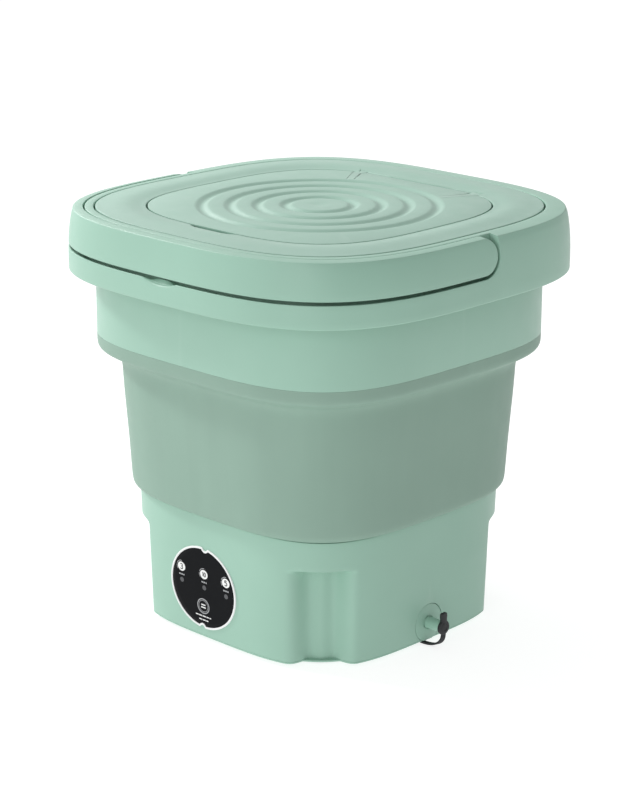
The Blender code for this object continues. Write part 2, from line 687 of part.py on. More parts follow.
def make_rim():
    mat = part_material("top_rim", MINT, 0.42)
    shelf = HANDLE_PIVOT.z - HANDLE_RADIUS - HANDLE_GAP
    web = shelf - WALL
    section = [(0.1684, web), (0.1685, RIM_BOTTOM), (RIM_HALF, RIM_BOTTOM)]
    section += list(RIM_OUTSIDE)
    section += [(0.1660, RIM_TOP), (SEAT_HALF + 0.0008, RIM_TOP), (SEAT_HALF, RIM_TOP - 0.0008),
                (SEAT_HALF, RING_TOP)]
    rings = [ring(half, RIM_POWER, z) for half, z in section]
    rings += [ring(RING_HALF + 0.0005, RING_POWER, z) for z in (RING_TOP, web)]
    rim = loft("top_rim", rings, mat, loop=True)

    pocket = loft("handle_pocket", [ring(POCKET_INNER, RIM_POWER, z) for z in (0.36, 0.29)]
                  + [ring(0.185, RIM_POWER, z) for z in (0.29, 0.36)], None, loop=True)
    pocket_radius = HANDLE_RADIUS + HANDLE_GAP
    last = degrees(acos((POCKET_OPEN_Y - HANDLE_PIVOT.y) / pocket_radius))
    boolean(pocket, along_x("pocket_end", end_outline(pocket_radius, last), 0.2), "INTERSECT")
    thick = block("scoop_backing", (-0.0240, -0.1690, 0.2950), (0.0240, -0.1600, shelf - 0.0008))
    boolean(rim, thick, "UNION")
    boolean(rim, pocket)

    scoop_radius, scoop_depth = 0.0470, 0.0040
    middle = shelf - scoop_depth + scoop_radius
    scoop = rod("finger_scoop", (0, -0.18, middle), (0, -0.1612, middle), scoop_radius, steps=64)
    boolean(scoop, block("scoop_limit", (-0.03, -0.19, 0.28), (0.03, -0.16, shelf + 0.0010)), "INTERSECT")
    boolean(rim, scoop)

    back = [angle for angle in EVEN_ANGLES if radians(12) < angle < radians(168)]
    core_in, core_out = SEAT_HALF + WALL, 0.1640
    core = loft("rim_core", [ring(core_in, RIM_POWER, z, back) for z in (RIM_TOP - WALL, web - 0.002)]
                + [ring(core_out, RIM_POWER, z, back) for z in (web - 0.002, RIM_TOP - WALL)],
                None, loop=True, around=False)
    boolean(rim, core)
    for side in (-1, 1):
        pin_bore = rod(f"rim_pin_bore_{side}", (side * 0.1545, HANDLE_PIVOT.y, HANDLE_PIVOT.z),
                       (side * 0.1610, HANDLE_PIVOT.y, HANDLE_PIVOT.z), 0.0033, steps=16)
        boolean(rim, pin_bore)
    return rim


def make_handle():
    mat = part_material("carry_handle", MINT, 0.42)
    low, high = HANDLE_PIVOT.z - HANDLE_RADIUS - 0.001, HANDLE_PIVOT.z + HANDLE_RADIUS + 0.001
    heights = [low, 0.3090, 0.3197, 0.3275, 0.3320, high]
    rings = [ring(HANDLE_INNER, RIM_POWER, z) for z in (high, low)]
    rings += [ring(rim_half(z), RIM_POWER, z) for z in heights]
    handle = loft("carry_handle", rings, mat, loop=True)
    boolean(handle, along_x("handle_end", end_outline(HANDLE_RADIUS), 0.2), "INTERSECT")
    for side in (-1, 1):
        name = "handle_pin_" + ("left" if side < 0 else "right")
        axis = (HANDLE_PIVOT.y, HANDLE_PIVOT.z)
        boolean(handle, rod(f"handle_pin_bore_{side}", (side * 0.1600, *axis), (side * 0.1655, *axis),
                            0.0033, steps=16))
        rod(name, (side * 0.1550, *axis), (side * 0.1650, *axis), 0.0030,
            part_material(name, STEEL, 0.25, 1.0), 16)
    return handle


# ---------------------------------------------------------------- lid and flap
def make_lid_frame():
    mat = part_material("lid_frame", MINT, 0.42)
    skin = 0.0022
    ledge_in, ledge_top = FLAP_HOLE - 0.0043, 0.3291
    crown = ((0.1440, 0.3349), (0.1350, LID_CROWN), (0.1250, 0.3347))
    section = [(LID_HALF, LID_BOTTOM), (LID_HALF, LID_FACE - 0.0008), (LID_HALF - 0.0008, LID_FACE)]
    section += list(crown)
    section += [(FLAP_HOLE, LID_EDGE), (FLAP_HOLE, ledge_top), (ledge_in, ledge_top),
                (ledge_in, ledge_top - skin), (FLAP_HOLE + skin, ledge_top - skin),
                (FLAP_HOLE + skin, LID_EDGE - skin)]
    section += [(half, z - skin) for half, z in reversed(crown)]
    section += [(LID_HALF - skin, LID_FACE - skin), (LID_HALF - skin, LID_BOTTOM)]
    frame = loft("lid_frame", [ring(half, RIM_POWER, z) for half, z in section], mat, loop=True)

    channel = block("barrel_channel", (-0.0566, 0.1098, 0.3180), (0.0566, 0.1172, 0.3400))
    boolean(frame, channel)
    for side in (-1, 1):
        near, far = BARREL_HALF + 0.0012, BARREL_HALF + 0.0012 + EAR_WIDTH
        low, high = sorted((side * near, side * far))
        ear = block(f"hinge_ear_{side}", (low, 0.1096, 0.3278), (high, 0.1180, LID_EDGE))
        boolean(frame, ear, "UNION")
        bore = rod(f"ear_bore_{side}", (side * 0.0500, HINGE_Y, HINGE_Z), (side * 0.0652, HINGE_Y, HINGE_Z),
                   HINGE_PIN_RADIUS + GAP, steps=12)
        boolean(frame, bore)
        name = "flap_pin_" + ("left" if side < 0 else "right")
        rod(name, (side * 0.0510, HINGE_Y, HINGE_Z), (side * 0.0645, HINGE_Y, HINGE_Z), HINGE_PIN_RADIUS,
            part_material(name, STEEL, 0.25, 1.0), 12)
    notch_radius, notch_depth = 0.0770, 0.0040
    middle = -(FLAP_HOLE + notch_depth) + notch_radius
    notch = rod("lift_notch", (0.0040, middle, 0.3304), (0.0040, middle, 0.3400), notch_radius, steps=72)
    boolean(notch, block("notch_limit", (-0.04, -0.13, 0.3200), (0.05, -0.1150, 0.3500)), "INTERSECT")
    boolean(frame, notch)
    return frame


def make_flap():
    mat = part_material("lid_flap", MINT, 0.45)
    bm = bmesh.new()
    centre_low = bm.verts.new((0, 0, FLAP_BOTTOM))
    centre_high = bm.verts.new((0, 0, FLAP_TOP - RIPPLE_DEPTH / 2))
    rings = [ring(FLAP_HALF, RIM_POWER, FLAP_BOTTOM), ring(FLAP_HALF, RIM_POWER, FLAP_TOP)]
    for edge in RIPPLE_EDGES:
        for inset, drop in ((0.0, 0.0), (0.5, RIPPLE_DEPTH), (1.0, 0.0)):
            rings.append(ring(edge - inset * RIPPLE_WIDTH, 2.0, FLAP_TOP - drop))
    rings.append(ring(0.0100, 2.0, FLAP_TOP))
    rows = [[bm.verts.new(point) for point in points] for points in rings]
    for low, high in zip(rows, rows[1:]):
        for i in range(EVEN_STEPS):
            j = (i + 1) % EVEN_STEPS
            bm.faces.new((low[i], low[j], high[j], high[i]))
    for i in range(EVEN_STEPS):
        j = (i + 1) % EVEN_STEPS
        bm.faces.new((centre_low, rows[0][j], rows[0][i]))
        bm.faces.new((centre_high, rows[-1][i], rows[-1][j]))
    mesh = bpy.data.meshes.new("lid_flap")
    bm.to_mesh(mesh)
    bm.free()
    flap = add("lid_flap", mesh, mat)

    near, far = BARREL_HALF + 0.0003, BARREL_HALF + 0.0012 + EAR_WIDTH + 0.0007
    boolean(flap, block("behind_axis", (-far, HINGE_Y, 0.32), (far, 0.13, 0.34)))
    for side in (-1, 1):
        low, high = sorted((side * near, side * far))
        boolean(flap, block(f"ear_room_{side}", (low, 0.1090, 0.32), (high, 0.13, 0.34)))
    barrel = rod("flap_barrel", (-BARREL_HALF, HINGE_Y, HINGE_Z), (BARREL_HALF, HINGE_Y, HINGE_Z),
                 BARREL_RADIUS, steps=20)
    boolean(flap, barrel, "UNION")
    for side in (-1, 1):
        boolean(flap, rod(f"flap_pin_bore_{side}", (side * 0.0505, HINGE_Y, HINGE_Z),
                          (side * 0.0600, HINGE_Y, HINGE_Z), HINGE_PIN_RADIUS + GAP, steps=12))
    return flap


# ---------------------------------------------------------------- build
make_base_shell()
make_tub_basin()
make_bottom_cover()
make_feet_and_screws()
make_motor()
make_motor_plate()
make_shaft_parts()
make_pulsator()
make_panel()
make_control_board()
make_leads()
make_inlet()
make_drain()
make_strap()
make_bellows()
make_upper_ring()
make_rim()
make_handle()
make_lid_frame()
make_flap()
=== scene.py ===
"""Visual model of the folding portable mini washer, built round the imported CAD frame.

Metres, +Z up, in the frame's own axes. -Y is the front, with the touch panel and the handle's
grip; +X has the drain spout; +Y has the flap's hinge and the power inlet.
"""

from math import asin, atan2, cos, pi, radians, sin, sqrt, tan

import bmesh
import bpy
from mathutils import Matrix, Vector


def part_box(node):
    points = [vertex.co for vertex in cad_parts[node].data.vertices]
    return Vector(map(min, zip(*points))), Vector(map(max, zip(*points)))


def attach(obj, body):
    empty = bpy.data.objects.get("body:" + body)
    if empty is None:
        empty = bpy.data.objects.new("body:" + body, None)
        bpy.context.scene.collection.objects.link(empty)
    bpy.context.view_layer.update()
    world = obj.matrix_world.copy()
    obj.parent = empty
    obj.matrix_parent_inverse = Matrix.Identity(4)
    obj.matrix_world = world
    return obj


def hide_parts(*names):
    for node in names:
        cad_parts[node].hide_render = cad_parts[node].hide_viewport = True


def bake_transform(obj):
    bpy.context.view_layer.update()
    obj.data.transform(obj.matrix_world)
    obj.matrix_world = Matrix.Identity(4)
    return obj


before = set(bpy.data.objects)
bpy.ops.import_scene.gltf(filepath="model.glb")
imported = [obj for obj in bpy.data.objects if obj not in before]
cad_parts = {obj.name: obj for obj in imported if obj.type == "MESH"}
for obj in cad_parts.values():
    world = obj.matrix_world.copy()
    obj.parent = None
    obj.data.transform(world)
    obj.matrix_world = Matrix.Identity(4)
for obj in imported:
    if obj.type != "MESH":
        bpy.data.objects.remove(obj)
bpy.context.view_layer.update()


# ================================================================ materials
def new_material(name):
    mat = bpy.data.materials.new(name)
    mat.use_nodes = True
    return mat, mat.node_tree, mat.node_tree.nodes["Principled BSDF"]


def put(node, values):
    for key, value in values.items():
        node.inputs[key].default_value = value


def add_node(tree, kind, values=(), **settings):
    made = tree.nodes.new(kind)
    for key, value in settings.items():
        setattr(made, key, value)
    put(made, dict(values))
    return made


def object_coords(tree):
    return add_node(tree, "ShaderNodeTexCoord").outputs["Object"]


def noise(tree, coords, scale, detail=2.0, roughness=0.5):
    made = add_node(tree, "ShaderNodeTexNoise", {"Scale": scale, "Detail": detail, "Roughness": roughness})
    tree.links.new(coords, made.inputs["Vector"])
    return made.outputs["Fac"]


def spread(tree, value, low, high, out_low, out_high):
    """Moves a value from the range low..high to the range out_low..out_high."""
    made = add_node(tree, "ShaderNodeMapRange",
                    {"From Min": low, "From Max": high, "To Min": out_low, "To Max": out_high})
    tree.links.new(value, made.inputs["Value"])
    return made.outputs["Result"]


def mix(tree, factor, first, second):
    made = add_node(tree, "ShaderNodeMix", data_type="RGBA")
    tree.links.new(factor, made.inputs["Factor"])
    for socket, value in ((made.inputs["A"], first), (made.inputs["B"], second)):
        if isinstance(value, tuple):
            socket.default_value = (*value, 1.0)
        else:
            tree.links.new(value, socket)
    return made.outputs["Result"]


def shade(colour, amount):
    return tuple(min(1.0, c * amount) for c in colour)


def stretched(tree, coords, scale):
    made = add_node(tree, "ShaderNodeMapping", {"Scale": scale})
    tree.links.new(coords, made.inputs["Vector"])
    return made.outputs["Vector"]


def bump(tree, shader, height, strength, distance):
    made = add_node(tree, "ShaderNodeBump", {"Strength": strength, "Distance": distance})
    tree.links.new(height, made.inputs["Height"])
    tree.links.new(made.outputs["Normal"], shader.inputs["Normal"])


def moulded(name, colour, roughness, grain=1500.0, depth=0.00004, mottle=0.03, edge=0.06,
            specular=0.5, drawn=None):
    """Moulded plastic or rubber: fine grain, slow colour drift, uneven gloss and rubbed edges.

    depth is the grain's depth in metres, mottle and edge are shares of the colour, and drawn
    stretches a second drift along one axis."""
    mat, tree, shader = new_material(name)
    coords = object_coords(tree)
    slow = spread(tree, noise(tree, coords, 11.0, 3.0), 0.3, 0.7, 0.0, 1.0)
    tone = mix(tree, slow, shade(colour, 1 - mottle), shade(colour, 1 + mottle))
    if drawn:
        flow = spread(tree, noise(tree, stretched(tree, coords, drawn), 1.0, 3.0), 0.35, 0.65, 0.0, 0.5)
        tone = mix(tree, flow, tone, shade(colour, 1 - mottle * 1.5))
    pointed = add_node(tree, "ShaderNodeNewGeometry").outputs["Pointiness"]
    worn = spread(tree, pointed, 0.51, 0.60, 0.0, edge)
    tone = mix(tree, worn, tone, tuple(0.5 + c * 0.5 for c in colour))
    tree.links.new(tone, shader.inputs["Base Color"])
    gloss = spread(tree, noise(tree, coords, 70.0, 4.0), 0.3, 0.7, roughness - 0.04, roughness + 0.04)
    tree.links.new(gloss, shader.inputs["Roughness"])
    put(shader, {"Specular IOR Level": specular})
    bump(tree, shader, noise(tree, coords, grain, 2.0, 0.6), 0.5, depth)
    return mat


def metal(name, colour, roughness, lay=(40.0, 40.0, 3000.0), depth=0.00002):
    """Turned or drawn metal: fine lay lines, slight tarnish and uneven gloss."""
    mat, tree, shader = new_material(name)
    coords = object_coords(tree)
    lines = noise(tree, stretched(tree, coords, lay), 1.0, 3.0)
    stain = noise(tree, coords, 180.0, 4.0)
    tone = mix(tree, spread(tree, stain, 0.35, 0.7, 0.0, 1.0), colour, shade(colour, 0.8))
    tree.links.new(tone, shader.inputs["Base Color"])
    gloss = spread(tree, lines, 0.3, 0.7, roughness - 0.06, roughness + 0.08)
    tree.links.new(gloss, shader.inputs["Roughness"])
    put(shader, {"Metallic": 1.0})
    bump(tree, shader, lines, 0.4, depth)
    return mat


def lacquered_board(name):
    """Green solder mask with paler copper traces under it."""
    mat, tree, shader = new_material(name)
    coords = object_coords(tree)
    bricks = add_node(tree, "ShaderNodeTexBrick", {
        "Scale": 160.0, "Mortar Size": 0.035, "Mortar": (0.060, 0.250, 0.110, 1),
        "Color1": (0.012, 0.105, 0.045, 1), "Color2": (0.016, 0.130, 0.058, 1)})
    tree.links.new(coords, bricks.inputs["Vector"])
    dust = noise(tree, coords, 260.0, 3.0)
    haze = spread(tree, dust, 0.45, 0.8, 0.0, 0.3)
    tree.links.new(mix(tree, haze, bricks.outputs["Color"], (0.05, 0.19, 0.10)), shader.inputs["Base Color"])
    tree.links.new(spread(tree, dust, 0.3, 0.7, 0.3, 0.45), shader.inputs["Roughness"])
    bump(tree, shader, bricks.outputs["Fac"], 0.3, 0.00005)
    return mat


MINT_TONE = (0.307, 0.512, 0.410)
# The lid is the same mint plastic as the body. Its tone and the lid material made from it are greyer and less
# green: painted sheen for the white reflection on the lid's top.
LID_SHEEN_TONE = (0.312, 0.492, 0.406)
SOFT_TONE = (0.252, 0.385, 0.313)

MINT = moulded("mint_polypropylene", MINT_TONE, 0.42)
LID_SHEEN = moulded("lid_polypropylene_painted_sheen", LID_SHEEN_TONE, 0.44)
SOFT = moulded("soft_wall_elastomer", SOFT_TONE, 0.55, grain=900.0, depth=0.00006, mottle=0.035,
               edge=0.03, specular=0.4, drawn=(55.0, 55.0, 2.0))
RUBBER = moulded("black_rubber", (0.016, 0.017, 0.019), 0.60, grain=1100.0, depth=0.00006, mottle=0.12,
                 edge=0.05, specular=0.4)
LENS = moulded("panel_gloss", (0.0060, 0.0066, 0.0078), 0.34, grain=2600.0, depth=0.000008, mottle=0.10,
               edge=0.02, specular=0.045)
PANEL_RING = moulded("panel_ring_white", (0.82, 0.83, 0.83), 0.35, depth=0.00001, mottle=0.015, edge=0.02)
PRINT = moulded("panel_print_white", (0.80, 0.81, 0.80), 0.5, depth=0.00001, mottle=0.03, edge=0.0)
PRINT_GREY = moulded("panel_print_grey", (0.36, 0.37, 0.38), 0.5, depth=0.00001, mottle=0.05, edge=0.0)
LED_DOT = moulded("panel_led_window", (0.062, 0.064, 0.070), 0.35, depth=0.00001, mottle=0.08, edge=0.0)
GREY = moulded("pulsator_plastic", (0.70, 0.72, 0.71), 0.36, depth=0.00002, mottle=0.02, edge=0.04)
DARK = moulded("dark_nylon", (0.045, 0.047, 0.050), 0.55, mottle=0.12, edge=0.05)
NYLON = moulded("gear_nylon", (0.72, 0.70, 0.64), 0.48, depth=0.00003, mottle=0.04, edge=0.05)
LEAD_WHITE = moulded("lead_white", (0.75, 0.75, 0.73), 0.45, depth=0.00002, mottle=0.04, edge=0.0)
LEAD_BLACK = moulded("lead_black", (0.018, 0.018, 0.020), 0.45, depth=0.00002, mottle=0.15, edge=0.0)
LEAD_RED = moulded("lead_red", (0.50, 0.030, 0.025), 0.45, depth=0.00002, mottle=0.08, edge=0.0)
STEEL = metal("turned_steel", (0.56, 0.57, 0.58), 0.28)
CAN = metal("motor_can_steel", (0.50, 0.51, 0.52), 0.34, lay=(30.0, 30.0, 1500.0), depth=0.00003)
BRONZE = metal("sintered_bronze", (0.58, 0.38, 0.19), 0.42, lay=(900.0, 900.0, 900.0), depth=0.00004)
BRASS = metal("cut_brass", (0.72, 0.56, 0.26), 0.30, lay=(60.0, 60.0, 2500.0))
BOARD = lacquered_board("circuit_board")


# ================================================================ mesh helpers
def smoothstep(low, high, value):
    t = min(1.0, max(0.0, (value - low) / (high - low)))
    return t * t * (3 - 2 * t)


def fraction(count):
    return [i / count for i in range(count + 1)]


def spaced(first, last, count):
    return [first + (last - first) * t for t in fraction(count)]


def even_angles(count):
    return [2 * pi * i / count for i in range(count)]


def polar(angle, reach, z=0.0):
    return Vector((reach * cos(angle), reach * sin(angle), z))


def on_plan(angle, half, power, z=0.0):
    """The point of a superellipse in the direction of an angle."""
    return polar(angle, half / (abs(cos(angle)) ** power + abs(sin(angle)) ** power) ** (1 / power), z)


def skin(rows, around=True, loop=False, caps=False):
    """Vertices and quads over rows of points of equal length."""
    count = len(rows[0])
    verts = [tuple(point) for row in rows for point in row]
    faces = []
    pairs = [(r, r + 1) for r in range(len(rows) - 1)]
    if loop:
        pairs.append((len(rows) - 1, 0))
    for low, high in pairs:
        for i in range(count if around else count - 1):
            j = (i + 1) % count
            faces.append((low * count + i, low * count + j, high * count + j, high * count + i))
    if caps:
        faces.append(tuple(reversed(range(count))))
        faces.append(tuple(range((len(rows) - 1) * count, len(rows) * count)))
    return verts, faces


def joined(shapes):
    verts, faces = [], []
    for some_verts, some_faces in shapes:
        base = len(verts)
        verts += some_verts
        faces += [tuple(base + i for i in face) for face in some_faces]
    return verts, faces


def link(name, data):
    obj = bpy.data.objects.new(name, data)
    bpy.context.scene.collection.objects.link(obj)
    return obj


def make_object(name, shape, mat=None, weld=2e-6):
    """An object from a shape, which is a pair of vertices and faces."""
    verts, faces = shape
    mesh = bpy.data.meshes.new(name)
    mesh.from_pydata([tuple(v) for v in verts], [], faces)
    bm = bmesh.new()
    bm.from_mesh(mesh)
    bmesh.ops.remove_doubles(bm, verts=bm.verts, dist=weld)
    bmesh.ops.dissolve_degenerate(bm, dist=1e-7, edges=bm.edges)
    bmesh.ops.recalc_face_normals(bm, faces=bm.faces)
    bm.to_mesh(mesh)
    bm.free()
    if mat:
        mesh.materials.append(mat)
    return link(name, mesh)


def bake(obj):
    """Applies the modifiers of an object to its mesh."""
    bpy.context.view_layer.update()
    graph = bpy.context.evaluated_depsgraph_get()
    mesh = bpy.data.meshes.new_from_object(obj.evaluated_get(graph))
    obj.modifiers.clear()
    obj.data = mesh


def cut(obj, cutter):
    mod = obj.modifiers.new("cut", "BOOLEAN")
    mod.operation = "DIFFERENCE"
    mod.solver = "EXACT"
    mod.object = cutter
    bake(obj)
    bpy.data.objects.remove(cutter)


def soften(obj, width, angle=40):
    mod = obj.modifiers.new("soften", "BEVEL")
    mod.width = width
    mod.segments = 3
    mod.limit_method = "ANGLE"
    mod.angle_limit = radians(angle)
    mod.use_clamp_overlap = True
    bake(obj)


def set_down(obj, body, *stands_for, sharp=38):
    """Smooth shading, then the piece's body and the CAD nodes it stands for."""
    obj.data.shade_smooth()
    obj.data.set_sharp_from_angle(angle=radians(sharp))
    if body:
        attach(obj, body)
    if stands_for:
        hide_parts(*stands_for)


def piece(name, shape, mat, body, *stands_for, sharp=38):
    """A piece that needs no cutting: made and set down in one go."""
    obj = make_object(name, shape, mat)
    set_down(obj, body, *stands_for, sharp=sharp)
    return obj


def rounded(corners, steps=3, closed=False):
    """A section from (half, z, radius) corners, each turned into an arc of that radius."""
    out = []
    count = len(corners)
    for i, (x, z, radius) in enumerate(corners):
        here = Vector((x, z))
        if radius <= 0 or (not closed and i in (0, count - 1)):
            out.append((x, z))
            continue
        back = Vector(corners[i - 1][:2]) - here
        ahead = Vector(corners[(i + 1) % count][:2]) - here
        opening = back.angle(ahead)
        reach = min(radius / tan(opening / 2), back.length * 0.49, ahead.length * 0.49)
        radius = reach * tan(opening / 2)
        centre = here + (back.normalized() + ahead.normalized()).normalized() * (radius / sin(opening / 2))
        first = here + back.normalized() * reach - centre
        last = here + ahead.normalized() * reach - centre
        swing = first.angle_signed(last)
        for t in fraction(steps):
            out.append(tuple(centre + Matrix.Rotation(-swing * t, 2) @ first))
    return out


def smooth_line(points, steps):
    """A smooth run through chosen points of any dimension (Catmull-Rom)."""
    pts = [Vector(p) for p in points]
    pts = [pts[0] * 2 - pts[1]] + pts + [pts[-1] * 2 - pts[-2]]
    out = []
    for a, b, c, d in zip(pts, pts[1:], pts[2:], pts[3:]):
        for i in range(steps):
            t = i / steps
            out.append(0.5 * (2 * b + (c - a) * t + (2 * a - 5 * b + 4 * c - d) * t ** 2
                              + (3 * b - a - 3 * c + d) * t ** 3))
    return out + [pts[-2]]


def ring_rows(section, steps):
    """A row of points round the plan for each (half, z, power) of a section."""
    return [[on_plan(angle, half, power, z) for angle in even_angles(steps)] for half, z, power in section]


def turned(profile, steps, place=(0, 0, 0), along=(0, 0, 1), closed=False):
    """Vertices and faces of a turned shape from (radius, height) points."""
    turn = Vector((0, 0, 1)).rotation_difference(Vector(along))
    rows = [[turn @ polar(a, radius, height) + Vector(place) for a in even_angles(steps)]
            for radius, height in profile]
    return skin(rows, loop=closed)


def prism(outline, low, high, direction=(0, 0, 1)):
    """Vertices and faces of an outline of 3-D points, pushed along a direction."""
    push = Vector(direction)
    return skin([[Vector(p) + push * reach for p in outline] for reach in (low, high)], caps=True)


def round_cutter(name, radius, steps, place, along):
    """A plug that cuts a round hole through a wall at a place."""
    inward, outward = -0.010, 0.012
    return make_object(name, turned([(0, inward), (radius, inward), (radius, outward), (0, outward)],
                                    steps, place, along))


def cross_recess(screw, middle, arms, low, high):
    """Cuts a cross into a screw's head, from the (x, y) half sizes of its two arms."""
    for half_x, half_y in arms:
        outline = [(middle[0] + sx * half_x, middle[1] + sy * half_y, 0)
                   for sx, sy in ((-1, -1), (1, -1), (1, 1), (-1, 1))]
        cut(screw, make_object("recess", prism(outline, low, high)))


# ================================================================ base
BASE_POWER = 3.70
BASE_LOW, BASE_HIGH = 0.0030, 0.1055
BASE_HALF_LOW, BASE_HALF_HIGH = 0.1194, 0.1222
BASE_FOOT_EDGE, BASE_LIP_EDGE, BASE_WALL = 0.0016, 0.0004, 0.0025
RELIEF_FLUTE, RELIEF_RIB, RELIEF_RIB_HALF = 0.1250, 0.0018, 0.0090
RELIEF_FLAT_HALF, RELIEF_REACH = 0.0080, 0.0285
RELIEF_LOW, RELIEF_HIGH = 0.0782, 0.0824
LIP_REACH, LIP_FALL, LIP_HALF, LIP_TOP = 0.1296, 0.0016, 0.0136, 0.0050
SPOUT_Z, SPOUT_FLANGE = 0.0180, 0.0152
FLANGE_FLAT = 0.0036               # the spout's round flange is cut off flat at this height
# a box under the spout, in plan, that cuts the flange and its hole off flat
UNDER_SPOUT = [(0.09, -0.03, 0), (0.15, -0.03, 0), (0.15, 0.03, 0), (0.09, 0.03, 0)]
INLET_Z = 0.0320


def base_half(z):
    return BASE_HALF_LOW + (BASE_HALF_HIGH - BASE_HALF_LOW) * (z - BASE_LOW) / (BASE_HIGH - BASE_LOW)


def base_point(angle, z, inset, relief, lip):
    """A point of the base: its drafted plan, the fluted relief in each corner and the lip under it."""
    point = on_plan(angle, base_half(z) - inset, BASE_POWER)
    out = Vector((1 if point.x > 0 else -1, 1 if point.y > 0 else -1, 0)).normalized()
    side = Vector((-out.y, out.x, 0))
    reach, offset = point.dot(out), point.dot(side)
    rib = RELIEF_RIB * (1 - smoothstep(0, RELIEF_RIB_HALF, abs(offset)))
    keep = smoothstep(RELIEF_FLAT_HALF, RELIEF_REACH, abs(offset))
    reach -= relief * (reach - (RELIEF_FLUTE + rib - inset)) * (1 - keep)
    if lip:
        reach = max(reach, LIP_REACH - inset - LIP_FALL * (offset / LIP_HALF) ** 2)
    return out * reach + side * offset + Vector((0, 0, z))


def base_row(z, inset=0.0, lip=False):
    relief = 1 - smoothstep(RELIEF_LOW, RELIEF_HIGH, z)
    return [base_point(angle, z, inset, relief, lip) for angle in even_angles(480)]


def make_base():
    quarter = pi / 2
    rows = [base_row(BASE_LOW + BASE_FOOT_EDGE * (1 - cos(a)), BASE_FOOT_EDGE * (1 - sin(a)), lip=True)
            for a in spaced(0, quarter, 5)]
    rows += [base_row(LIP_TOP - 0.0004, lip=True), base_row(LIP_TOP, 0.0003, lip=True)]
    rows += [base_row(z) for z in (LIP_TOP + 0.0001, 0.012, 0.022, 0.033, 0.044, 0.055, 0.064, 0.070)]
    rows += [base_row(z) for z in spaced(RELIEF_LOW, RELIEF_HIGH, 10)]
    rows += [base_row(z) for z in (0.086, 0.092, 0.098, 0.102)]
    rows += [base_row(BASE_HIGH - BASE_LIP_EDGE * (1 - sin(a)), BASE_LIP_EDGE * (1 - cos(a)))
             for a in spaced(0, quarter, 4)]
    rows += [base_row(z, BASE_WALL)
             for z in (BASE_HIGH, 0.094, RELIEF_HIGH, 0.080, RELIEF_LOW, 0.040, BASE_LOW)]
    base = make_object("base_skin", skin(rows, loop=True), MINT)
    spout_place, inlet_place = (base_half(SPOUT_Z), 0, SPOUT_Z), (0, base_half(INLET_Z), INLET_Z)
    spout_hole = round_cutter("spout_hole", SPOUT_FLANGE + 0.0004, 96, spout_place, (1, 0, 0))
    cut(spout_hole, make_object("hole_sill", prism(UNDER_SPOUT, -0.02, FLANGE_FLAT - 0.0003)))
    cut(base, spout_hole)
    cut(base, round_cutter("inlet_hole", 0.0064, 48, inlet_place, (0, 1, 0)))
    set_down(base, "base", "base_shell", sharp=32)


def make_basin():
    line = ((0.1172, 0.1120, 3.6), (0.1163, 0.1030, 3.55), (0.1150, 0.0945, 3.5), (0.1100, 0.0872, 3.4),
            (0.1000, 0.0832, 3.0), (0.0850, 0.0818, 2.4), (0.0650, 0.0811, 2.0), (0.0300, 0.0810, 2.0),
            (0.0093, 0.0810, 2.0))
    inner = [tuple(p) for p in smooth_line(line, 5)]
    # thickened outwards up the side, and downwards from the side's foot on
    under = [(half + (0.0022 if i < 16 else 0.0), z - (0.0004 if i < 6 else 0.0024), power)
             for i, (half, z, power) in enumerate(inner)]
    lip = [(0.1185, 0.1126, 3.6)]
    piece("basin_skin", skin(ring_rows(inner + under[::-1] + lip, 240), loop=True), MINT, "base", "tub_basin")


def make_feet_and_screws():
    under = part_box("bottom_cover")[0].z - 0.0003
    for number in ("1", "2", "3", "4"):
        first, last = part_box("rubber_foot_" + number)
        middle = (first + last) / 2
        groove = [(0.0060, 0.0), (0.0061, 0.0004), (0.0068, 0.0004), (0.0069, 0.0)]
        profile = rounded([(0, 0, 0), (0.0086, 0, 0.0012), (0.0096, under, 0.0006), (0.0030, under, 0.0002),
                           (0.0030, last.z, 0.0005), (0, last.z, 0)], 4)
        profile[1:1] = groove
        piece("foot_" + number, turned(profile, 56, (middle.x, middle.y, 0)), RUBBER,
              "base", "rubber_foot_" + number)
        first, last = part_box("cover_screw_" + number)
        middle = (first + last) / 2
        head = first.z
        profile = rounded([(0, head, 0), (0.0022, head, 0.0008), (0.0032, under - 0.0004, 0.0004),
                           (0.0032, under, 0.0002), (0.0015, under, 0), (0.0015, last.z - 0.001, 0),
                           (0, last.z, 0)])
        screw = make_object("screw_" + number, turned(profile, 40, (middle.x, middle.y, 0)), STEEL)
        cross_recess(screw, middle, ((0.00035, 0.0019), (0.0019, 0.00035)), head - 0.001, head + 0.0011)
        set_down(screw, "base", "cover_screw_" + number, sharp=30)


# ================================================================ folding wall and upper ring
RING_HALF, RING_POWER, RING_WALL = 0.1500, 3.63, 0.0025
RING_LOW, RING_HIGH = 0.2335, 0.3165
WALL_LOW = BASE_HIGH + 0.0003
WALL_THICK = 0.0022


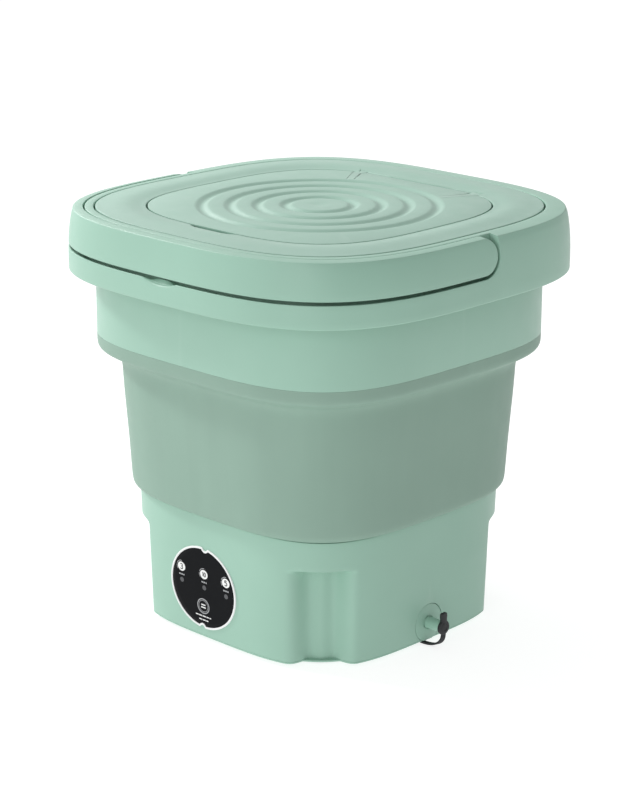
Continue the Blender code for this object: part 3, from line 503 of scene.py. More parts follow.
def make_folding_wall():
    lip = [(0.1219, WALL_LOW, 3.45), (0.1231, WALL_LOW + 0.0001, 3.45), (0.1247, WALL_LOW + 0.0006, 3.45),
           (0.1262, WALL_LOW + 0.0014, 3.46), (0.1275, WALL_LOW + 0.0027, 3.48)]
    side = [(half, z, 3.5) for half, z in
            ((0.1284, WALL_LOW + 0.0047), (0.1289, 0.1135), (0.1292, 0.1175), (0.1297, 0.1260),
             (0.1304, 0.1400), (0.1314, 0.1560), (0.1324, 0.1710), (0.1333, 0.1850), (0.1340, 0.1980),
             (0.1344, 0.2060))]
    shoulder = [(0.1349, 0.2105, 3.52), (0.1359, 0.2138, 3.54), (0.1376, 0.2163, 3.56),
                (0.1402, 0.2183, 3.59), (0.1436, 0.2197, 3.61)]
    band = [(half, z, RING_POWER) for half, z in
            ((0.1465, 0.2209), (0.1484, 0.2223), (0.1495, 0.2243), (0.1499, 0.2270), (RING_HALF, 0.2300),
             (RING_HALF, 0.2334))]
    outer = [tuple(p) for p in smooth_line(lip + side + shoulder + band, 3)]
    inner = []
    for i, (half, z, power) in enumerate(outer):
        before, after = outer[max(i - 1, 0)], outer[min(i + 1, len(outer) - 1)]
        run = Vector((after[0] - before[0], after[1] - before[1])).normalized()
        inner.append((half - run.y * WALL_THICK, z + run.x * WALL_THICK, power))
    inner[0] = (0.1205, WALL_LOW + 0.0012, 3.45)
    rows = ring_rows(outer + inner[::-1], 320)
    wall = piece("wall_skin", skin(rows, loop=True), SOFT, None, "folding_wall")
    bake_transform(wall)


def make_upper_ring():
    inside = RING_HALF - RING_WALL
    section = rounded([(inside, RING_LOW, 0.0003), (RING_HALF, RING_LOW, 0.00012),
                       (RING_HALF, RING_HIGH, 0.0004), (inside, RING_HIGH, 0.0004)], closed=True)
    rows = ring_rows([(half, z, RING_POWER) for half, z in section], 320)
    piece("ring_skin", skin(rows, loop=True), MINT, "upper_body", "upper_ring")


# ================================================================ rim and handle
RIM_POWER = 3.3
RIM_LOW, RIM_HIGH, RIM_EDGE = 0.2850, 0.3340, 0.0010
RIM_HALF, RIM_LEAN, LEAN_POWER = 0.1710, 0.0038, 3.3   # the rim's side leans in towards its top
PIVOT_Y, PIVOT_Z = -0.0010, 0.3200
HANDLE_RADIUS, HANDLE_GAP = 0.0142, 0.0026
HANDLE_OUTER_EDGE, HANDLE_INNER_EDGE = 0.0006, 0.0004
POCKET_RADIUS = HANDLE_RADIUS + HANDLE_GAP
HANDLE_INNER, POCKET_INNER = 0.1605, 0.1593
SEAT_HALF, SEAT_INNER = 0.1534, 0.1505
OPEN_DY = 0.0165               # above the pivot the pocket is open up to here, so the handle can stand up
MOUTH, SCOOP_MOUTH = 0.0004, 0.0020   # the rounding of the pocket's edge, and what the scoop adds to it
TOP_DROP = 0.0009              # the rim's and the handle's tops fall this much towards the outside
POCKET_WEB = 0.0075            # the plastic under the pocket's floor
POCKET_FALL = 0.0050           # the pocket's floor drops away behind its lip
SCOOP_RADIUS, SCOOP_DEPTH, SCOOP_X = 0.0560, 0.0031, 0.0010
EDGE_ARC = [radians(a) for a in (0, 22.5, 45, 67.5, 90)]
END_ARC = [radians(a) for a in (8, 16, 24, 32, 40, 47, 54, 60, 66, 71, 76, 81, 85)]
CORNER_ARC = [radians(-a) for a in (4, 7, 10, 13, 16, 19, 22, 24.5, 27, 29, 31, 33, 35, 37, 38.5, 40, 41.5,
                                    43, 44.5, 46, 47.5, 49, 50.5, 52)]


def rim_half(z):
    return RIM_HALF - RIM_LEAN * max(0.0, (z - RIM_LOW) / (RIM_HIGH - RIM_LOW)) ** LEAN_POWER


def plan_side(half, along):
    """How far the plan reaches at a distance along one of its sides."""
    return half * (1 - (min(abs(along), half) / half) ** RIM_POWER) ** (1 / RIM_POWER)


def end_steps(radius, edge, extra=()):
    """Distances from the pivot along Y where a round end with a rounded edge needs a column."""
    steps = [-0.0060, -0.0030, 0.0]
    steps += [radius * sin(a) for a in END_ARC]
    steps += [radius + edge * (1 - sin(a)) for a in EDGE_ARC]
    return sorted(set(steps + list(extra)))


def columns(ends):
    """Columns round the plan: (side, place), running from +X through -Y to -X."""
    narrow = [SCOOP_X + x for x in spaced(0.0245, -0.0245, 44)]
    wide = [x * 0.001 for x in range(31, 112, 4)]
    xs = sorted(narrow + wide + [-x for x in wide], reverse=True)
    front = [("angle", a) for a in CORNER_ARC] + [("front", x) for x in xs]
    front += [("angle", pi - a) for a in reversed(CORNER_ARC)]
    right = [("right", PIVOT_Y + step) for step in sorted(ends, reverse=True)]
    left = [("left", PIVOT_Y + step) for step in sorted(ends)]
    return right + front + left


def column_point(column, half, z):
    side, place = column
    if side == "right":
        return Vector((plan_side(half, place), place, z))
    if side == "left":
        return Vector((-plan_side(half, place), place, z))
    if side == "front":
        x = place * (1 - smoothstep(0.03, 0.105, abs(place)) * (1 - half / RIM_HALF))
        return Vector((x, -plan_side(half, x), z))
    return on_plan(place, half, RIM_POWER, z)


def from_pivot(column):
    """How far behind the pivot a column stands. Along the front any far value does."""
    side, place = column
    if side == "front":
        return -0.1
    return (on_plan(place, 0.17, RIM_POWER).y if side == "angle" else place) - PIVOT_Y


def reach_at(radius, dy):
    """Half-height of a bar with a round end, dy behind the end's centre."""
    return radius if dy <= 0 else sqrt(max(0.0, radius ** 2 - dy ** 2))


def scoop_at(column):
    """Depth of the finger scoop under the handle."""
    side, place = column
    if side != "front" or abs(place - SCOOP_X) >= SCOOP_RADIUS:
        return 0.0
    return max(0.0, SCOOP_DEPTH - SCOOP_RADIUS + sqrt(SCOOP_RADIUS ** 2 - (place - SCOOP_X) ** 2))


def pocket_mouth(dy, scoop):
    """The pocket's rounded edge from the face inwards, as (half-height, depth) steps."""
    mouth = MOUTH + SCOOP_MOUTH * scoop / SCOOP_DEPTH
    steps = []
    for a in EDGE_ARC:
        radius = POCKET_RADIUS + mouth * (1 - sin(a))
        depth = mouth * (1 - cos(a))
        if dy >= radius:
            depth = mouth * (1 - cos(asin(max(0.0, 1 - (dy - POCKET_RADIUS) / mouth))))
        steps.append((reach_at(radius, dy), depth))
    return steps


def pocket_floor(lip, reach, scoop):
    """The pocket's floor from its lip to its inner wall."""
    floor = PIVOT_Z - reach
    scooped = scoop / SCOOP_DEPTH
    fall = POCKET_FALL * reach / POCKET_RADIUS
    return [(lip - 0.0005, floor - scoop * 0.78),
            (lip - 0.0020 + 0.0007 * scooped, floor - scoop * 0.36 - fall * 0.35 * (1 - scooped)),
            (lip - 0.0044 + 0.0019 * scooped, floor - fall * 0.65 * (1 - scooped)),
            (POCKET_INNER + 0.0004, floor - fall),
            (POCKET_INNER, floor - fall + min(0.0006, reach))]


def rim_above(edge, dy, reach):
    """The rim's section above the pocket's floor: open over the handle, closed behind its round end."""
    if dy < OPEN_DY:
        corner = [(POCKET_INNER - 0.0005 * (1 - cos(a)), RIM_HIGH - 0.0005 * (1 - sin(a)))
                  for a in spaced(0, pi / 2, 3)]
        return corner + [corner[-1]] * 15
    mouth = [(rim_half(PIVOT_Z + half_height) - depth, PIVOT_Z + half_height) for half_height, depth in edge]
    roof = [mouth[-1] if dy >= POCKET_RADIUS else (POCKET_INNER, PIVOT_Z + reach)] * 4
    start, brow = mouth[0][1], RIM_HIGH - TOP_DROP - RIM_EDGE
    face = [(rim_half(z), z) for z in spaced(start, brow, 5)[1:-1]]
    top = rim_half(RIM_HIGH - RIM_EDGE) - 0.0002
    crest = [(top - RIM_EDGE * (1 - cos(a)), brow + RIM_EDGE * sin(a)) for a in spaced(0, pi / 2, 5)]
    return roof + mouth[::-1] + face + crest


def make_rim():
    web = PIVOT_Z - POCKET_RADIUS - POCKET_WEB
    ends = end_steps(POCKET_RADIUS, MOUTH, (OPEN_DY - 0.00001, OPEN_DY + 0.00001, 0.0185, 0.0205, 0.0230))
    back = [("angle", radians(a)) for a in range(170, 8, -2)]
    bottom = rounded([(0.1684, web, 0), (0.1685, RIM_LOW, 0.0005), (RIM_HALF, RIM_LOW, 0.0011),
                      (0.1709, 0.2930, 0)])[:-1]
    seat = rounded([(0.1560, RIM_HIGH, 0), (SEAT_HALF, RIM_HIGH, 0.0005), (SEAT_HALF, RING_HIGH, 0),
                    (SEAT_INNER, RING_HIGH, 0), (SEAT_INNER, web, 0)])
    rows = []
    for column in columns(ends) + back:
        dy, scoop = from_pivot(column), scoop_at(column)
        reach = reach_at(POCKET_RADIUS, dy)
        edge = pocket_mouth(dy, scoop)
        lip = []
        for half_height, depth in edge:
            z = PIVOT_Z - half_height - scoop
            lip.append((rim_half(z) - depth, z))
        face = [(rim_half(z), z) for z in spaced(bottom[-1][1], lip[0][1], 4)[1:-1]]
        floor = [lip[-1]] * 5 if dy >= POCKET_RADIUS else pocket_floor(lip[-1][0], reach, scoop)
        section = bottom + face + lip + floor + rim_above(edge, dy, reach) + seat
        rows.append([column_point(column, half, z) for half, z in section])
    piece("rim_skin", skin(rows, loop=True), MINT, "upper_body", "top_rim", sharp=42)


def handle_edge(edge, dy):
    """One rounded edge of the handle from its face inwards, as (half-height, depth) steps."""
    past = dy - (HANDLE_RADIUS - edge)
    sunk = edge * (1 - cos(asin(min(1.0, past / edge)))) if past > 0 else 0.0
    steps = []
    for a in EDGE_ARC:
        reach = reach_at(HANDLE_RADIUS - edge * (1 - sin(a)), dy)
        depth = edge * (1 - cos(a))
        steps.append((reach, depth if reach else max(depth, sunk)))
    return steps


def make_handle():
    rows = []
    for column in columns(end_steps(HANDLE_RADIUS, -HANDLE_OUTER_EDGE)):
        dy = from_pivot(column)
        outer, inner = handle_edge(HANDLE_OUTER_EDGE, dy), handle_edge(HANDLE_INNER_EDGE, dy)
        section = []
        face, sunk = outer[0]
        for share in (-0.66, -0.33, 0.0, 0.33, 0.66):
            z = PIVOT_Z + share * face
            section.append((rim_half(z) - sunk, z))
        for reach, depth in outer:
            z = PIVOT_Z + reach - TOP_DROP * reach / HANDLE_RADIUS
            section.append((rim_half(z) - depth, z))
        section += [(HANDLE_INNER + depth, PIVOT_Z + reach) for reach, depth in reversed(inner)]
        face, sunk = inner[0]
        section += [(HANDLE_INNER + sunk, PIVOT_Z + share * face) for share in (0.33, -0.33)]
        section += [(HANDLE_INNER + depth, PIVOT_Z - reach) for reach, depth in inner]
        section += [(rim_half(PIVOT_Z - reach) - depth, PIVOT_Z - reach) for reach, depth in reversed(outer)]
        rows.append([column_point(column, half, z) for half, z in section])
    piece("handle_skin", skin(rows), MINT, "handle", "carry_handle", sharp=42)


# ================================================================ lid
LID_HALF, LID_LOW, LID_FACE, LID_THICK = 0.1521, 0.3169, 0.3341, 0.0022
FLAP_HALF, FLAP_HOLE = 0.1166, 0.1178
FLAP_TOP, FLAP_LOW = 0.3336, 0.3306
HINGE_Y, HINGE_Z, BARREL = 0.1135, 0.3313, 0.0023
BARREL_HALF, EAR_NEAR, EAR_FAR = 0.0562, 0.0570, 0.0665
EAR_FRONT, EAR_BACK, EAR_LOW, EAR_TOP = 0.1095, 0.1182, 0.3278, 0.3335
CHANNEL_EDGE, CHANNEL_FAR, CHANNEL_FLOOR = 0.1172, 0.1180, 0.3250
LEDGE_REACH, LEDGE_TOP = 0.0043, 0.3291
NOTCH_HALF, NOTCH_DEPTH, NOTCH_X = 0.0250, 0.0052, 0.0035


def in_channel(angle):
    """Whether a direction crosses the hinge's channel."""
    return sin(angle) > 0 and abs(cos(angle) / sin(angle)) < EAR_FAR / CHANNEL_FAR


def lid_edge(angle):
    """Radial distance of the lid frame's inner edge, with the lift notch and the hinge channel."""
    if in_channel(angle):
        return CHANNEL_EDGE / sin(angle)
    plain = on_plan(angle, FLAP_HOLE, RIM_POWER)
    across = abs(plain.x - NOTCH_X) / NOTCH_HALF
    if sin(angle) < -0.9 and across < 1:
        return plain.length + NOTCH_DEPTH * (1 - across ** 2.6)
    return plain.length


def lid_angles():
    """Directions round the lid frame, closest together at the notch and at the channel's ends."""
    channel = atan2(CHANNEL_FAR, EAR_FAR)
    beside = 0.0004
    angles = [radians(-90 + 0.5 * step) for step in range(-30, 36)]
    angles += spaced(radians(-72.5), channel - 0.004, 110)[1:]
    angles += [channel - beside]
    angles += spaced(channel + beside, pi - channel - beside, 60)
    angles += [pi - channel + beside]
    return angles + spaced(pi - channel + 0.012, radians(270 - 15.5), 90)


def make_lid_frame():
    outer = rounded([(LID_HALF - LID_THICK, LID_LOW, 0), (LID_HALF, LID_LOW, 0.0004),
                     (LID_HALF, LID_FACE, 0.0004), (0.1500, LID_FACE, 0)])[:-1]
    crown = [(0.1505, 0.33420), (0.1488, 0.33430), (0.1467, 0.33445), (0.1445, 0.33465), (0.1423, 0.33485),
             (0.1400, 0.33505), (0.1377, 0.33520), (0.1352, 0.33530), (0.1325, 0.33530), (0.1298, 0.33515),
             (0.1270, 0.33480), (0.1243, 0.33435), (0.1218, 0.33385), (0.1202, 0.33368)]
    underside = [(0.1250, 0.3321), (0.1325, 0.3330), (0.1400, 0.3327), (0.1450, 0.3322),
                 (LID_HALF - LID_THICK, LID_FACE - LID_THICK)]
    rows = []
    for angle in lid_angles():
        edge, plain = lid_edge(angle), on_plan(angle, FLAP_HOLE, RIM_POWER).length
        row = [on_plan(angle, half, RIM_POWER, z) for half, z in outer + crown]
        row = [point if point.to_2d().length >= edge + 0.0012 else polar(angle, edge + 0.0012, point.z)
               for point in row]
        ledge_in, ledge_z = plain - LEDGE_REACH, LEDGE_TOP
        if in_channel(angle):
            ledge_in, ledge_z = edge - 0.0004, CHANNEL_FLOOR
        radius = 0.00005 if edge < plain else 0.0006
        row += [polar(angle, edge + radius * (1 - cos(a)), FLAP_TOP - radius * (1 - sin(a)))
                for a in spaced(pi / 2, 0, 3)]
        wide = max(edge, plain) + LID_THICK
        row += [polar(angle, reach, z) for reach, z in
                ((edge, ledge_z), (ledge_in + 0.0003, ledge_z), (ledge_in, ledge_z - 0.0003),
                 (ledge_in, ledge_z - LID_THICK), (wide, ledge_z - LID_THICK), (wide, 0.3314))]
        row += [on_plan(angle, half, RIM_POWER, z) for half, z in underside]
        rows.append(row)
    piece("lid_frame_skin", skin(rows, loop=True), LID_SHEEN, "lid", "lid_frame", sharp=42)


def make_hinge_seat():
    """The cradle behind the hinge barrel, and the two ears that hold its pins."""
    room = BARREL + 0.0004
    outline = [(0.1186, 0.3332), (0.1165, 0.3334), (0.1162, 0.3332)]
    outline += [(HINGE_Y + room * cos(radians(a)), HINGE_Z + room * sin(radians(a)))
                for a in (18, 5, -10, -28, -50, -75, -100)]
    outline += [(0.1130, EAR_LOW), (0.1186, EAR_LOW)]
    rows = [[(x, y, z) for y, z in outline] for x in spaced(-EAR_NEAR, EAR_NEAR, 3)]
    piece("hinge_cradle", skin(rows, caps=True), LID_SHEEN, "lid")
    for side, name in ((-1, "left"), (1, "right")):
        near, far = sorted((side * EAR_NEAR, side * EAR_FAR))
        outline = [(near, EAR_FRONT, 0), (far, EAR_FRONT, 0), (far, EAR_BACK, 0), (near, EAR_BACK, 0)]
        ear = make_object("hinge_ear_" + name, prism(outline, EAR_LOW, EAR_TOP), LID_SHEEN)
        soften(ear, 0.00015)
        set_down(ear, "lid")


RIPPLE_EDGES = (0.0977, 0.0758, 0.0544, 0.0326)
RIPPLE_WIDTH, RIPPLE_DEPTH = 0.0120, 0.0020
DISH_RADIUS, DISH_DEPTH = 0.0115, 0.0006


def flap_outline():
    """The flap's edge as (x, y) points, from the middle of the hinge side clockwise."""
    slit_end, ear_front, ear_far = 0.1070, 0.10935, EAR_FAR + 0.0004
    points = [on_plan(pi / 2 - a, FLAP_HALF, RIM_POWER).to_2d() for a in even_angles(300)]
    kept = [p for p in points if not (p.y > 0.10 and abs(p.x) <= ear_far)]
    right = [Vector((x, HINGE_Y)) for x in (0.0, 0.014, 0.028, 0.042, BARREL_HALF)]
    right += [Vector((BARREL_HALF, slit_end)), Vector((EAR_NEAR, slit_end)), Vector((EAR_NEAR, ear_front)),
              Vector((ear_far, ear_front)), Vector((ear_far, plan_side(FLAP_HALF, ear_far)))]
    left = [Vector((-p.x, p.y)) for p in reversed(right)]
    return right + kept + left[:-1]


def falling_angles(outline):
    """The direction of each outline point, made to fall steadily all the way round."""
    angles = []
    for p in outline:
        angle = atan2(p.y, p.x)
        while angles and angle - angles[-1] > pi:
            angle -= 2 * pi
        if angles and angle > angles[-1] - 1e-4:
            angle = angles[-1] - 0.0030
        angles.append(angle)
    return angles


def flap_height(radius):
    """Ripples: four smooth round channels, and a shallow dish in the middle."""
    z = FLAP_TOP
    for edge in RIPPLE_EDGES:
        t = (edge - radius) / RIPPLE_WIDTH
        if 0 < t < 1:
            z -= RIPPLE_DEPTH * sin(pi * t) ** 2 * (1.15 - 0.3 * t)
    if radius < DISH_RADIUS:
        z -= DISH_DEPTH * (1 - smoothstep(0.0, DISH_RADIUS, radius))
    return z


def flap_radii():
    radii = [0.1000, 0.0985]
    for edge, following in zip(RIPPLE_EDGES, RIPPLE_EDGES[1:] + (0.0130,)):
        radii += spaced(edge, edge - RIPPLE_WIDTH, 10)
        gap = edge - RIPPLE_WIDTH - following
        radii += [edge - RIPPLE_WIDTH - gap * t for t in (0.33, 0.67)]
    return radii + [DISH_RADIUS, 0.0095, 0.0075, 0.0055, 0.0035, 0.0015]


def round_flap_edge(flap):
    """Rounds the flap's top edge, less so in the cut-outs beside the hinge."""
    bm = bmesh.new()
    bm.from_mesh(flap.data)
    layer = bm.edges.layers.float.new("bevel_weight_edge")
    for edge in bm.edges:
        on_top = all(abs(v.co.z - FLAP_TOP) < 1e-6 for v in edge.verts)
        if on_top and len(edge.link_faces) == 2 and edge.calc_face_angle() > radians(55):
            beside_hinge = all(v.co.y > 0.106 and abs(v.co.x) < EAR_FAR + 0.0006 for v in edge.verts)
            edge[layer] = 0.2 if beside_hinge else 1.0
    bm.to_mesh(flap.data)
    bm.free()
    mod = flap.modifiers.new("soften", "BEVEL")
    mod.width = 0.0006
    mod.segments = 3
    mod.limit_method = "WEIGHT"
    bake(flap)


def make_flap():
    outline = flap_outline()
    angles = falling_angles(outline)
    count = len(outline)
    rows = [[(p.x * share, p.y * share, z) for p in outline]
            for share, z in ((0.985, FLAP_LOW), (1, FLAP_TOP - 0.0012), (1, FLAP_TOP))]
    radii = flap_radii()
    rows += [[polar(a, radius, flap_height(radius)) for a in angles] for radius in radii]
    verts, faces = skin(rows)
    inmost, centre = len(verts) - count, len(verts)
    verts.append((0, 0, flap_height(0)))
    faces += [(inmost + i, inmost + (i + 1) % count, centre) for i in range(count)]
    under = len(verts)
    verts += [tuple(polar(a, radii[-1], FLAP_LOW)) for a in angles] + [(0, 0, FLAP_LOW)]
    faces += [(i, (i + 1) % count, under + (i + 1) % count, under + i) for i in range(count)]
    faces += [(under + i, under + (i + 1) % count, under + count) for i in range(count)]
    flap = make_object("flap_skin", (verts, faces), LID_SHEEN)
    round_flap_edge(flap)
    set_down(flap, "flap", "lid_flap", sharp=42)
    for face in flap.data.polygons:
        if face.normal.z < -0.999:
            face.use_smooth = False
    profile = rounded([(0, -BARREL_HALF, 0), (BARREL, -BARREL_HALF, 0.0004), (BARREL, BARREL_HALF, 0.0004),
                       (0, BARREL_HALF, 0)])
    piece("flap_barrel", turned(profile, 48, (0, HINGE_Y, HINGE_Z), (1, 0, 0)), LID_SHEEN, "flap")


# ================================================================ touch panel
PANEL_X, PANEL_Z = -0.0085, 0.0452
PANEL_HALF_WIDTH, PANEL_HALF_HEIGHT, PANEL_RING_WIDTH = 0.0364, 0.0342, 0.0017
PANEL_UP = Vector((0, -(BASE_HALF_HIGH - BASE_HALF_LOW), BASE_HIGH - BASE_LOW)).normalized()
PANEL_OUT = Vector((0, -PANEL_UP.z, PANEL_UP.y))
PANEL_MIDDLE = Vector((PANEL_X, -base_half(PANEL_Z), PANEL_Z))
LENS_LIFT, PRINT_SUNK, PRINT_RAISED = 0.0006, 0.0002, 0.00008


def on_panel(u, v, lift):
    """A point of the panel from its middle: across, up and out, in metres."""
    return PANEL_MIDDLE + Vector((u, 0, 0)) + PANEL_UP * v + PANEL_OUT * lift


def panel_outline():
    """Oval with a small locating notch near its top and its bottom."""
    notch_half, notch_depth = 0.0030, 0.0024
    points = []
    for a in even_angles(220):
        point = Vector((PANEL_HALF_WIDTH * cos(a), PANEL_HALF_HEIGHT * sin(a)))
        for notch in (Vector((0.0033, 0.0334)), Vector((-0.0018, -0.0334))):
            away = abs(point.x - notch.x) / notch_half
            if away < 1 and point.y * notch.y > 0:
                point -= point.normalized() * notch_depth * (1 - away ** 2)
        points.append(point)
    return points


def inset(points, amount):
    out = []
    for i, point in enumerate(points):
        run = points[(i + 1) % len(points)] - points[i - 1]
        out.append(point + Vector((-run.y, run.x)).normalized() * amount)
    return out


def make_panel():
    outline, width = panel_outline(), PANEL_RING_WIDTH
    levels = [(0.0, -0.0026), (0.0, 0.0006), (0.0001, 0.0008), (0.0003, 0.0009), (width * 0.5, 0.00095),
              (width - 0.0003, 0.0009), (width - 0.0001, 0.0008), (width, 0.0005), (width, -0.0026)]
    rows = [[on_panel(p.x, p.y, lift) for p in inset(outline, amount)] for amount, lift in levels]
    piece("panel_ring", skin(rows, loop=True), PANEL_RING, "base", "panel_bezel")
    inner = inset(outline, width + 0.00005)
    rows = [[on_panel(p.x, p.y, lift) for p in inner] for lift in (-0.0018, 0.0005)]
    for amount in (0.0002, 0.004, 0.010, 0.018, 0.026):
        share = 1 - amount / 0.034
        rows.append([on_panel(p.x * share, p.y * share, LENS_LIFT) for p in inner])
    piece("panel_lens_face", skin(rows, caps=True), LENS, "base", "panel_lens")


def oval(u, v, half_u, half_v, start=0.0, stop=360.0, steps=40):
    """(u, v) points along an oval, from one angle to another in degrees."""
    return [(u + half_u * cos(radians(a)), v + half_v * sin(radians(a))) for a in spaced(start, stop, steps)]


def disc(u, v, half_u, half_v):
    outline = [on_panel(*point, 0) for point in oval(u, v, half_u, half_v)[:-1]]
    return prism(outline, LENS_LIFT - PRINT_SUNK, LENS_LIFT + PRINT_RAISED, PANEL_OUT)


def stroke(points, width, raised=PRINT_RAISED):
    """A flat printed stroke along (u, v) points."""
    pts = [Vector(p) for p in points]
    left, right = [], []
    for i, point in enumerate(pts):
        run = (pts[min(i + 1, len(pts) - 1)] - pts[max(i - 1, 0)]).normalized()
        across = Vector((-run.y, run.x)) * width / 2
        left.append(point + across)
        right.append(point - across)
    bands = [[on_panel(p.x, p.y, LENS_LIFT + lift) for p in side]
             for side, lift in ((right, -PRINT_SUNK), (right, raised), (left, raised), (left, -PRINT_SUNK))]
    verts, faces = skin(bands, around=False, loop=True)
    first = range(0, 4 * len(pts), len(pts))
    faces += [tuple(first), tuple(i + len(pts) - 1 for i in reversed(first))]
    return verts, faces


def dash(u, v, length, width):
    return stroke([(u - length / 2, v), (u + length / 2, v)], width)


DIGITS = {
    "3": [[(-0.8, 1.25), (-0.35, 1.6), (0.35, 1.6), (0.85, 1.2), (0.85, 0.55), (0.35, 0.1), (-0.1, 0.05)],
          [(-0.1, 0.05), (0.45, -0.05), (0.95, -0.5), (0.95, -1.15), (0.4, -1.6), (-0.35, -1.6),
           (-0.9, -1.2)]],
    "5": [[(0.85, 1.55), (-0.65, 1.55)], [(-0.65, 1.62), (-0.75, 0.25)],
          [(-0.75, 0.25), (-0.1, 0.5), (0.55, 0.35), (0.95, -0.15), (0.95, -0.9), (0.45, -1.5), (-0.3, -1.6),
           (-0.85, -1.25)]],
    "1": [[(-0.45, 1.1), (0.15, 1.55)], [(0.15, 1.62), (0.15, -1.62)]],
    "0": [[(0.0, 1.6), (-0.6, 1.25), (-0.8, 0.4), (-0.8, -0.4), (-0.6, -1.25), (0.0, -1.6), (0.6, -1.25),
           (0.8, -0.4), (0.8, 0.4), (0.6, 1.25), (0.0, 1.6)]],
}
DIGIT_PITCH = 0.0021
BUTTONS = ((-0.0325, 0.0572, "3"), (-0.0071, 0.0569, "10"), (0.0174, 0.0563, "5"))
# rows of plain bars under the ring, in the place of words: height, then (place, length) of each bar
CAPTION_ROWS = ((0.0213, ((-0.0074, 0.0030), (-0.0036, 0.0034), (0.0006, 0.0036), (0.0044, 0.0026),
                          (0.0074, 0.0018))),
                (0.0181, ((-0.0036, 0.0032), (0.0004, 0.0034), (0.0040, 0.0024))))


def make_print():
    white, grey, dark, leds = [], [], [], []
    for x, z, label in BUTTONS:
        u, v = x - PANEL_X, z - PANEL_Z
        white.append(disc(u, v, 0.0042, 0.0038))
        for start, stop, steps in ((85, 160, 12), (172, 215, 8)):
            grey.append(stroke(oval(u, v, 0.0051, 0.0049, start, stop, steps), 0.0005))
        size = 0.00132 if len(label) == 1 else 0.00108
        for i, digit in enumerate(label):
            middle = u + (i - (len(label) - 1) / 2) * DIGIT_PITCH
            for line in DIGITS[digit]:
                dark.append(stroke([(middle + a * size, v + b * size) for a, b in line], 0.00078, 0.00014))
        for shift, length in ((-0.0021, 0.0016), (0.0002, 0.0018), (0.0023, 0.0012)):
            grey.append(dash(u + shift, v - 0.0066, length, 0.0012))
        leds.append(disc(u, v - 0.0112, 0.0021, 0.0020))
    u, v = -0.0088 - PANEL_X, 0.0298 - PANEL_Z
    grey.append(stroke(oval(u, v, 0.0064, 0.0060, 0, 359.9, 64), 0.0008))
    grey.append(stroke(oval(u, v, 0.0050, 0.0047, 0, 359.9, 56), 0.00035))
    white += [dash(u, v + lift, length, 0.0010) for lift, length in ((0.0011, 0.0046), (-0.0011, 0.0052))]
    for z, bars in CAPTION_ROWS:
        white += [dash(u + shift, z - PANEL_Z, length, 0.0009) for shift, length in bars]
    for name, shapes, mat in (("panel_print_white", white, PRINT), ("panel_print_grey", grey, PRINT_GREY),
                              ("panel_print_digits", dark, LENS), ("panel_led_dots", leds, LED_DOT)):
        set_down(make_object(name, joined(shapes), mat, weld=1e-8), "base")


# ================================================================ drain and inlet
STRAP_ROUTE = ((0.1354, 0.0000, 0.0126), (0.1349, -0.0004, 0.0086), (0.1325, -0.0010, 0.0050),
               (0.1283, -0.0016, 0.0026), (0.1232, -0.0022, 0.0015), (0.1182, -0.0028, 0.0014),
               (0.1142, -0.0032, 0.0020), (0.1110, -0.0036, 0.0028))
STRAP_HALF_WIDTH, STRAP_HALF_THICK = 0.0020, 0.0008


def make_spout():
    face, bore = base_half(SPOUT_Z) + 0.0001, 0.0030
    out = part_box("drain_spout")[1].x - face
    profile = rounded([(bore, out, 0.0004), (0.0045, out, 0.0005), (0.0047, 0.0050, 0.001),
                       (0.0048, -0.0008, 0.0001), (0.0056, -0.0008, 0.0001), (0.0057, 0.0, 0.0002),
                       (SPOUT_FLANGE, 0.0, 0.0004), (SPOUT_FLANGE, -0.0025, 0), (0.0060, -0.0025, 0),
                       (0.0060, -0.0120, 0), (bore, -0.0120, 0)], 4, closed=True)
    spout = make_object("spout_skin", turned(profile, 96, (face, 0, SPOUT_Z), (1, 0, 0), closed=True), MINT)
    cut(spout, make_object("flange_flat", prism(UNDER_SPOUT, -0.02, FLANGE_FLAT)))
    set_down(spout, "base", "drain_spout")


def make_cap():
    low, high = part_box("drain_cap")
    front, rear, axis = high.x, high.x - 0.0028, (0, 0, SPOUT_Z)
    tab = [(0.0030, 0.0052), (0.0029, 0.0064), (0.0032, 0.0092), (0.0031, 0.0114), (0.0024, 0.0122)]
    outline = [polar(radians(a), 0.0058) for a in range(122, 418, 8)]
    outline = [(p.x, p.y) for p in outline] + tab + [(-y, z) for y, z in reversed(tab)]
    outline = [(rear, y, SPOUT_Z + z) for y, z in outline]
    cap = make_object("cap_skin", prism(outline, 0, front - rear, (1, 0, 0)), RUBBER)
    soften(cap, 0.0006, 45)
    set_down(cap, "drain_plug", "drain_cap", sharp=35)
    plug = rounded([(0, low.x, 0), (0.0024, low.x, 0.0006), (0.0027, rear, 0), (0.0027, rear + 0.0008, 0),
                    (0, rear + 0.0008, 0)])
    piece("cap_stem", turned(plug, 40, axis, (1, 0, 0)), RUBBER, "drain_plug")
    ridge = rounded([(0.0034, front - 0.0002, 0), (0.0034, front + 0.0003, 0.0002),
                     (0.0028, front + 0.0003, 0.0002), (0.0028, front - 0.0002, 0)])
    piece("cap_ridge", turned(ridge, 48, axis, (1, 0, 0), closed=True), RUBBER, "drain_plug")


def make_strap():
    route = smooth_line(STRAP_ROUTE, 8)
    across = Vector((0.35, 1.0, 0)).normalized()
    section = rounded([(sx * STRAP_HALF_WIDTH, sy * STRAP_HALF_THICK, 0.0004)
                       for sx, sy in ((-1, -1), (1, -1), (1, 1), (-1, 1))], closed=True)
    rows = []
    for i, point in enumerate(route):
        ahead = (route[min(i + 1, len(route) - 1)] - route[max(i - 1, 0)]).normalized()
        wide = (across - ahead * across.dot(ahead)).normalized()
        thin = ahead.cross(wide).normalized()
        rows.append([point + wide * a + thin * b for a, b in section])
    strap = piece("strap_skin", skin(rows, caps=True), RUBBER, None, "cap_strap")
    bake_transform(strap)


